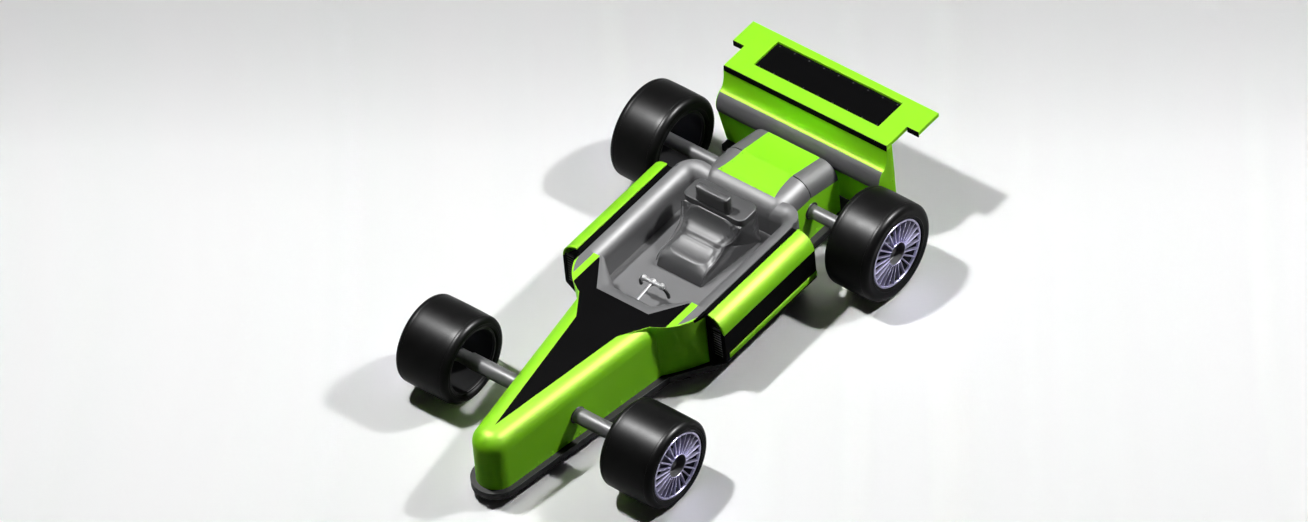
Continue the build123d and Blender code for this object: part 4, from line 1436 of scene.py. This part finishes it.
@dataclass
class Seat(Assembly):
    """Padded seat and headrest of the cockpit, with piping along the seat's edges.

    Spots are (y, z) on the seat's side profile.
    """

    voxel: float = 0.0075
    pressure: float = 4.0
    frames: int = 20
    swell: float = 0.009
    fill: float = 0.85
    inset: float = 0.006
    half_low: float = 0.192
    half_high: float = 0.250
    front: Spot = (0.139, 0.340)
    roll: Spot = (0.1786, 0.415)
    crest: Spot = (0.252, 0.440)
    dish: Spot = (0.331, 0.459)
    heel: Spot = (0.410, 0.506)
    hollow: Spot = (0.489, 0.554)
    lip: Spot = (0.520, 0.618)
    back: float = 0.709
    roll_steps: int = 12
    dish_steps: int = 14
    cap_thick: float = 0.040
    cap_sink: float = 0.016
    cap_corner: float = 0.060
    cap_edge: float = 0.008
    cap_rounding: int = 12
    pad_half: float = 0.142
    pad_depth: float = 0.066
    pad_inset: float = 0.004
    pad_corner: float = 0.016
    pad_edge: float = 0.010
    pad_rounding: int = 10
    pad_voxel: float = 0.005
    pad_swell: float = 0.005
    pad_fill: float = 0.9
    rim_steps: int = 6
    piping: float = 0.0035
    piping_rise: float = 0.001
    piping_in: float = 0.002
    piping_ends: tuple[int, int] = (3, -2)
    piping_sides: int = 12

    def half_at(self, y: np.ndarray) -> np.ndarray:
        """Half width of the seat: narrow base, widening evenly from the heel to the lip."""
        return np.interp(y, [self.heel[0], self.lip[0]], [self.half_low, self.half_high])

    def widened(self, points: np.ndarray) -> np.ndarray:
        """Points whose x is a share of the half width, set out to that width."""
        x = points[:, 0] * (self.half_at(points[:, 1]) - self.inset)
        return np.stack([x, points[:, 1], points[:, 2]], 1)

    def profile(self) -> np.ndarray:
        """Side profile of the sitting surface: rolled front, dished base, hollow back.

        Returns:
            Rows of (y, z).
        """
        return np.concatenate([arc_through(self.front, self.roll, self.crest, self.roll_steps),
                               arc_through(self.crest, self.dish, self.heel, self.dish_steps)[1:],
                               arc_through(self.heel, self.hollow, self.lip, self.dish_steps)[1:]])

    def blown(self, form: bpy.types.Object, rest: np.ndarray, voxel: float, swell: float) -> np.ndarray:
        """Blows up a form by a cloth simulation, with its flat underside held.

        Args:
            form: Even skin of a closed form.
            rest: Its points.
            voxel: Size of the skin's faces.
            swell: Furthest that a point may move.

        Returns:
            The moved points.
        """
        held = np.flatnonzero(rest[:, 2] < rest[:, 2].min() + voxel)
        form.vertex_groups.new(name="held").add(held.tolist(), 1.0, "REPLACE")
        cloth = form.modifiers.new("swell", "CLOTH")
        cloth.settings.vertex_group_mass = "held"
        cloth.settings.use_pressure = True
        cloth.settings.uniform_pressure_force = self.pressure
        cloth.settings.effector_weights.gravity = 0.0
        for step in range(1, self.frames + 1):
            bpy.context.scene.frame_set(step)
        points = np.empty(rest.size)
        graph = bpy.context.evaluated_depsgraph_get()
        form.evaluated_get(graph).data.vertices.foreach_get("co", points)
        form.modifiers.clear()
        form.vertex_groups.clear()
        bpy.context.scene.frame_set(1)
        move = points.reshape(-1, 3) - rest
        length = np.linalg.norm(move, axis=1, keepdims=True)
        return rest + move * np.minimum(1.0, swell / np.maximum(length, TINY))

    def stuff(self, form: bpy.types.Object, voxel: float, swell: float) -> bpy.types.Object:
        """Makes an even cloth skin of a form, blows it up a little and smooths it.

        Args:
            form: Closed form, which is turned into the pad.
            voxel: Size of the skin's faces.
            swell: Furthest that a point may move.

        Returns:
            The pad.
        """
        skin = form.modifiers.new("skin", "REMESH")
        skin.mode = "VOXEL"
        skin.voxel_size = voxel
        graph = bpy.context.evaluated_depsgraph_get()
        mesh = bpy.data.meshes.new_from_object(form.evaluated_get(graph))
        form.modifiers.clear()
        form.data = mesh
        mesh.name = form.name
        rest = np.empty(len(mesh.vertices) * 3)
        mesh.vertices.foreach_get("co", rest)
        mesh.vertices.foreach_set("co", self.blown(form, rest.reshape(-1, 3), voxel, swell).ravel())
        mesh.shade_smooth()
        smooth = form.modifiers.new("smooth", "SUBSURF")
        smooth.levels = smooth.render_levels = 1
        return form

    def build_seat(self) -> None:
        """Seat: its side profile carried across, wider towards the back, then stuffed."""
        outline = np.concatenate([self.profile(), [(self.back, self.lip[1]), (self.back, self.front[1])]])
        towards = np.clip(outline.mean(0) - outline, -self.inset, self.inset)
        inner = outline + towards * (outline[:, 1:] > self.front[1] + TINY)
        patch = Patchwork("seat_pad").slab(inner, -1.0, 1.0, Lay.SIDE)
        patch.points = [self.widened(points) for points in patch.points]
        pad = self.stuff(patch.build(), self.voxel, self.swell)
        self.place(pad, "seat_grey", "seat")

    def build_piping(self) -> None:
        """Round piping along both edges of the sitting surface, just under its rim."""
        line = self.profile()[slice(*self.piping_ends)]
        slope = np.gradient(line, axis=0)
        slope /= np.linalg.norm(slope, axis=1, keepdims=True)
        out = np.stack([-slope[:, 1], slope[:, 0]], 1)
        y, z = (line + self.piping_rise * out).T
        x = self.half_at(line[:, 0]) - self.piping_in
        piece = Patchwork("seat_piping")
        for side in Side:
            path = np.stack([side.value * x, y, z], 1)
            piece.rod(path, np.full(len(path), self.piping), self.piping_sides)
        self.place(piece.build(), "seat_grey")

    def build_headrest(self) -> None:
        """Rigid cap on the seat back, and the pad that stands on its front edge."""
        (y, low), high = self.lip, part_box("headrest")[1].z
        top = low + self.cap_thick
        outline = rounded_box((-self.half_high, y), (self.half_high, self.back), self.cap_corner,
                              self.cap_rounding)
        cap = Patchwork("headrest_cap")
        cap.slab(outline, low - self.cap_sink, top, Lay.PLAN, self.cap_edge, self.rim_steps)
        self.place(cap.build(), "seat_grey", "headrest")
        inset = self.pad_inset
        half = self.pad_half - inset
        outline = rounded_box((-half, y + inset), (half, y + self.pad_depth - inset), self.pad_corner,
                              self.pad_rounding)
        form = Patchwork("headrest_pad")
        form.slab(outline, top - inset, high - inset, Lay.PLAN, self.pad_edge, self.rim_steps)
        pad = self.stuff(form.build(), self.pad_voxel, self.pad_swell)
        self.place(pad, "seat_grey")

    def build(self) -> None:
        """Builds the soft pieces and their piping."""
        self.build_seat()
        self.build_piping()
        self.build_headrest()


class EdgeFinish:
    """Small rounds on the sharp edges of the frame's rigid nodes, so that they catch the light."""

    widths: dict[str, float] = {
        "floor_plate": 0.004, "wing_plate": 0.003, "wing_insert": 0.001, "engine_cover": 0.003,
        "tail_panel": 0.003, "sidepod_left": 0.003, "sidepod_right": 0.003, "pedals": 0.0015,
        "steering_column": 0.0015, "engine_block": 0.004,
    }
    weld_reach: float = 1e-5
    segments: int = 3
    sharp_angle: float = 40.0

    @classmethod
    def build(cls) -> None:
        """Welds each node's triangles and bevels its sharp edges, by modifiers alone."""
        for name, width in cls.widths.items():
            node = frame["nodes"][name]
            weld = node.modifiers.new("weld", "WELD")
            weld.merge_threshold = cls.weld_reach
            bevel = node.modifiers.new("soft_edges", "BEVEL")
            bevel.width = width
            bevel.segments = cls.segments
            bevel.limit_method = "ANGLE"
            bevel.angle_limit = radians(cls.sharp_angle)
            bevel.harden_normals = True


# Studio

@dataclass(frozen=True)
class Lamp:
    """Soft round studio lamp aimed at the car, with a second one beside it for gloss alone.

    Level is the light that it gives a flat white surface on the ground, where 1 renders as white. Shine is
    the gloss lamp's level as a multiple of it.
    """

    name: str
    place: Point
    level: float
    width: float
    shine: float

    def hang(self, name: str, level: float) -> bpy.types.Object:
        """Hangs one lamp: its power is level * pi^2 * distance^2 / cosine of its slant.

        Args:
            name: Name of the lamp.
            level: Light that it gives.

        Returns:
            The lamp.
        """
        away = Vector(self.place)
        data = bpy.data.lights.new(name, "AREA")
        data.shape = "DISK"
        data.size = self.width
        data.energy = level * pi ** 2 * away.length ** 3 / away.z
        lamp = bpy.data.objects.new(name, data)
        lamp.location = away
        lamp.rotation_mode = "QUATERNION"
        lamp.rotation_quaternion = (-away).to_track_quat("-Z", "Y")
        bpy.context.scene.collection.objects.link(lamp)
        return lamp

    def build(self) -> None:
        """Hangs the lamp and its gloss lamp."""
        self.hang(self.name, self.level)
        gloss = self.hang(f"{self.name}_gloss", self.level * self.shine)
        gloss.visible_diffuse = False


@dataclass
class Studio:
    """Camera, lamps, floor and air round the car."""

    azimuth: float = 42.2006
    elevation: float = 44.5977
    roll: float = -5.6702
    lens: float = 550.5
    sensor: float = 36.0
    distance: float = 130.39
    clip_share: float = 4.0
    target: Point = (-0.4559, 0.421, 0.0)
    floor_half: float = 60.0
    floor_points: int = 3
    floor_tone: float = 1.0
    floor_far_tone: float = 0.73
    floor_bounce: float = 0.03
    fade_start: float = 1.0
    fade_end: float = 3.2
    fade_way: Point = (-0.5625, 0.8268, 0.0)
    ambient: float = 0.015
    horizon: float = 0.95
    zenith: float = 0.06
    zenith_height: float = 0.6
    lamps: tuple[Lamp, ...] = (Lamp("lamp_right", (-4.3, -1.8, 12.5), 0.61, 0.9, 15.0),
                               Lamp("lamp_left", (6.8, 6.9, 11.5), 0.37, 0.9, 28.0))

    def build_camera(self) -> None:
        """Places the camera by its two angles, then rolls it about its own view."""
        a, e, r = radians(self.azimuth), radians(self.elevation), radians(self.roll)
        back = Vector((sin(a) * cos(e), -cos(a) * cos(e), sin(e)))
        right = (-back).cross(Vector((0, 0, 1))).normalized()
        up = right.cross(-back)
        turned = right * cos(r) + up * sin(r)
        top = -right * sin(r) + up * cos(r)
        data = bpy.data.cameras.new("camera")
        data.lens = self.lens
        data.sensor_width = self.sensor
        data.clip_end = self.clip_share * self.distance
        camera = bpy.data.objects.new("camera", data)
        place = Vector(self.target) + back * self.distance
        camera.matrix_world = Matrix([*zip(turned, top, back, place), (0, 0, 0, 1)])
        bpy.context.scene.collection.objects.link(camera)
        bpy.context.scene.camera = camera

    @staticmethod
    def seen_rays(tree: bpy.types.NodeTree) -> bpy.types.NodeSocket:
        """1 for rays that show a surface: camera, glossy and transmission rays.

        Args:
            tree: Node tree of the floor or the air.

        Returns:
            The socket with that value.
        """
        path = add_node(tree, "ShaderNodeLightPath")
        shown = calc(tree, "MAXIMUM", path.outputs["Is Camera Ray"], path.outputs["Is Glossy Ray"])
        return calc(tree, "MAXIMUM", shown, path.outputs["Is Transmission Ray"])

    def floor_material(self) -> bpy.types.Material:
        """White floor that fades to pale grey behind the car and throws little light back up.

        Returns:
            The new material.
        """
        shader = bpy.data.materials.new("studio_floor")
        shader.use_nodes = True
        tree = shader.node_tree
        tree.nodes.clear()
        place = add_node(tree, "ShaderNodeTexCoord").outputs["Object"]
        way = add_node(tree, "ShaderNodeVectorMath", {0: place, 1: self.fade_way}, operation="DOT_PRODUCT")
        tone = add_node(tree, "ShaderNodeMapRange", {
            "Value": way.outputs["Value"], "From Min": self.fade_start, "From Max": self.fade_end,
            "To Min": self.floor_tone, "To Max": self.floor_far_tone}, interpolation_type="SMOOTHSTEP")
        level = add_node(tree, "ShaderNodeMapRange", {
            "Value": self.seen_rays(tree), "To Min": self.floor_bounce, "To Max": tone.outputs[0]})
        shade = add_node(tree, "ShaderNodeBsdfDiffuse", {"Color": level.outputs[0]})
        add_node(tree, "ShaderNodeOutputMaterial", {"Surface": shade.outputs[0]})
        return shader

    def build_floor(self) -> None:
        """Flat floor at ground level, its faces upwards."""
        line = np.linspace(-self.floor_half, self.floor_half, self.floor_points)
        x, y = np.meshgrid(line, line, indexing="ij")
        piece = Patchwork("studio_floor").add(np.stack([x, y, np.zeros_like(x)], -1)).build()
        piece.data.materials.append(self.floor_material())
        if piece.data.polygons[0].normal.z < 0:
            piece.data.flip_normals()

    def build_air(self) -> None:
        """Pale studio walls for rays that show them, and a dim even light for the rest."""
        world = bpy.data.worlds.new("studio_air")
        world.use_nodes = True
        tree = world.node_tree
        tree.nodes.clear()
        way = add_node(tree, "ShaderNodeTexCoord").outputs["Generated"]
        height = add_node(tree, "ShaderNodeSeparateXYZ", {0: way}).outputs["Z"]
        graded = add_node(tree, "ShaderNodeMapRange", {
            "Value": height, "From Min": 0.0, "From Max": self.zenith_height, "To Min": self.horizon,
            "To Max": self.zenith})
        level = add_node(tree, "ShaderNodeMapRange", {
            "Value": self.seen_rays(tree), "To Min": self.ambient, "To Max": graded.outputs[0]})
        air = add_node(tree, "ShaderNodeBackground", {"Strength": level.outputs[0]})
        add_node(tree, "ShaderNodeOutputWorld", {"Surface": air.outputs[0]})
        bpy.context.scene.world = world

    def build(self) -> None:
        """Builds the whole studio."""
        bpy.context.scene.view_settings.view_transform = "Standard"
        self.build_camera()
        for lamp in self.lamps:
            lamp.build()
        self.build_floor()
        self.build_air()


def main() -> None:
    """Builds the studio, then every assembly of the car."""
    logging.basicConfig(level=logging.INFO, format="%(message)s")
    Studio().build()
    shop = Paintshop()
    shop.coat_frame()
    EdgeFinish.build()
    for end in AxleEnd:
        for side in Side:
            Wheel(shop, end=end, side=side).build()
    for side in Side:
        SidePod(shop, side=side).build()
    for assembly in (Tail(shop), BodySkin(shop), Coaming(shop), SteeringWheel(shop), Seat(shop)):
        assembly.build()


if __name__ == "__main__":
    main()
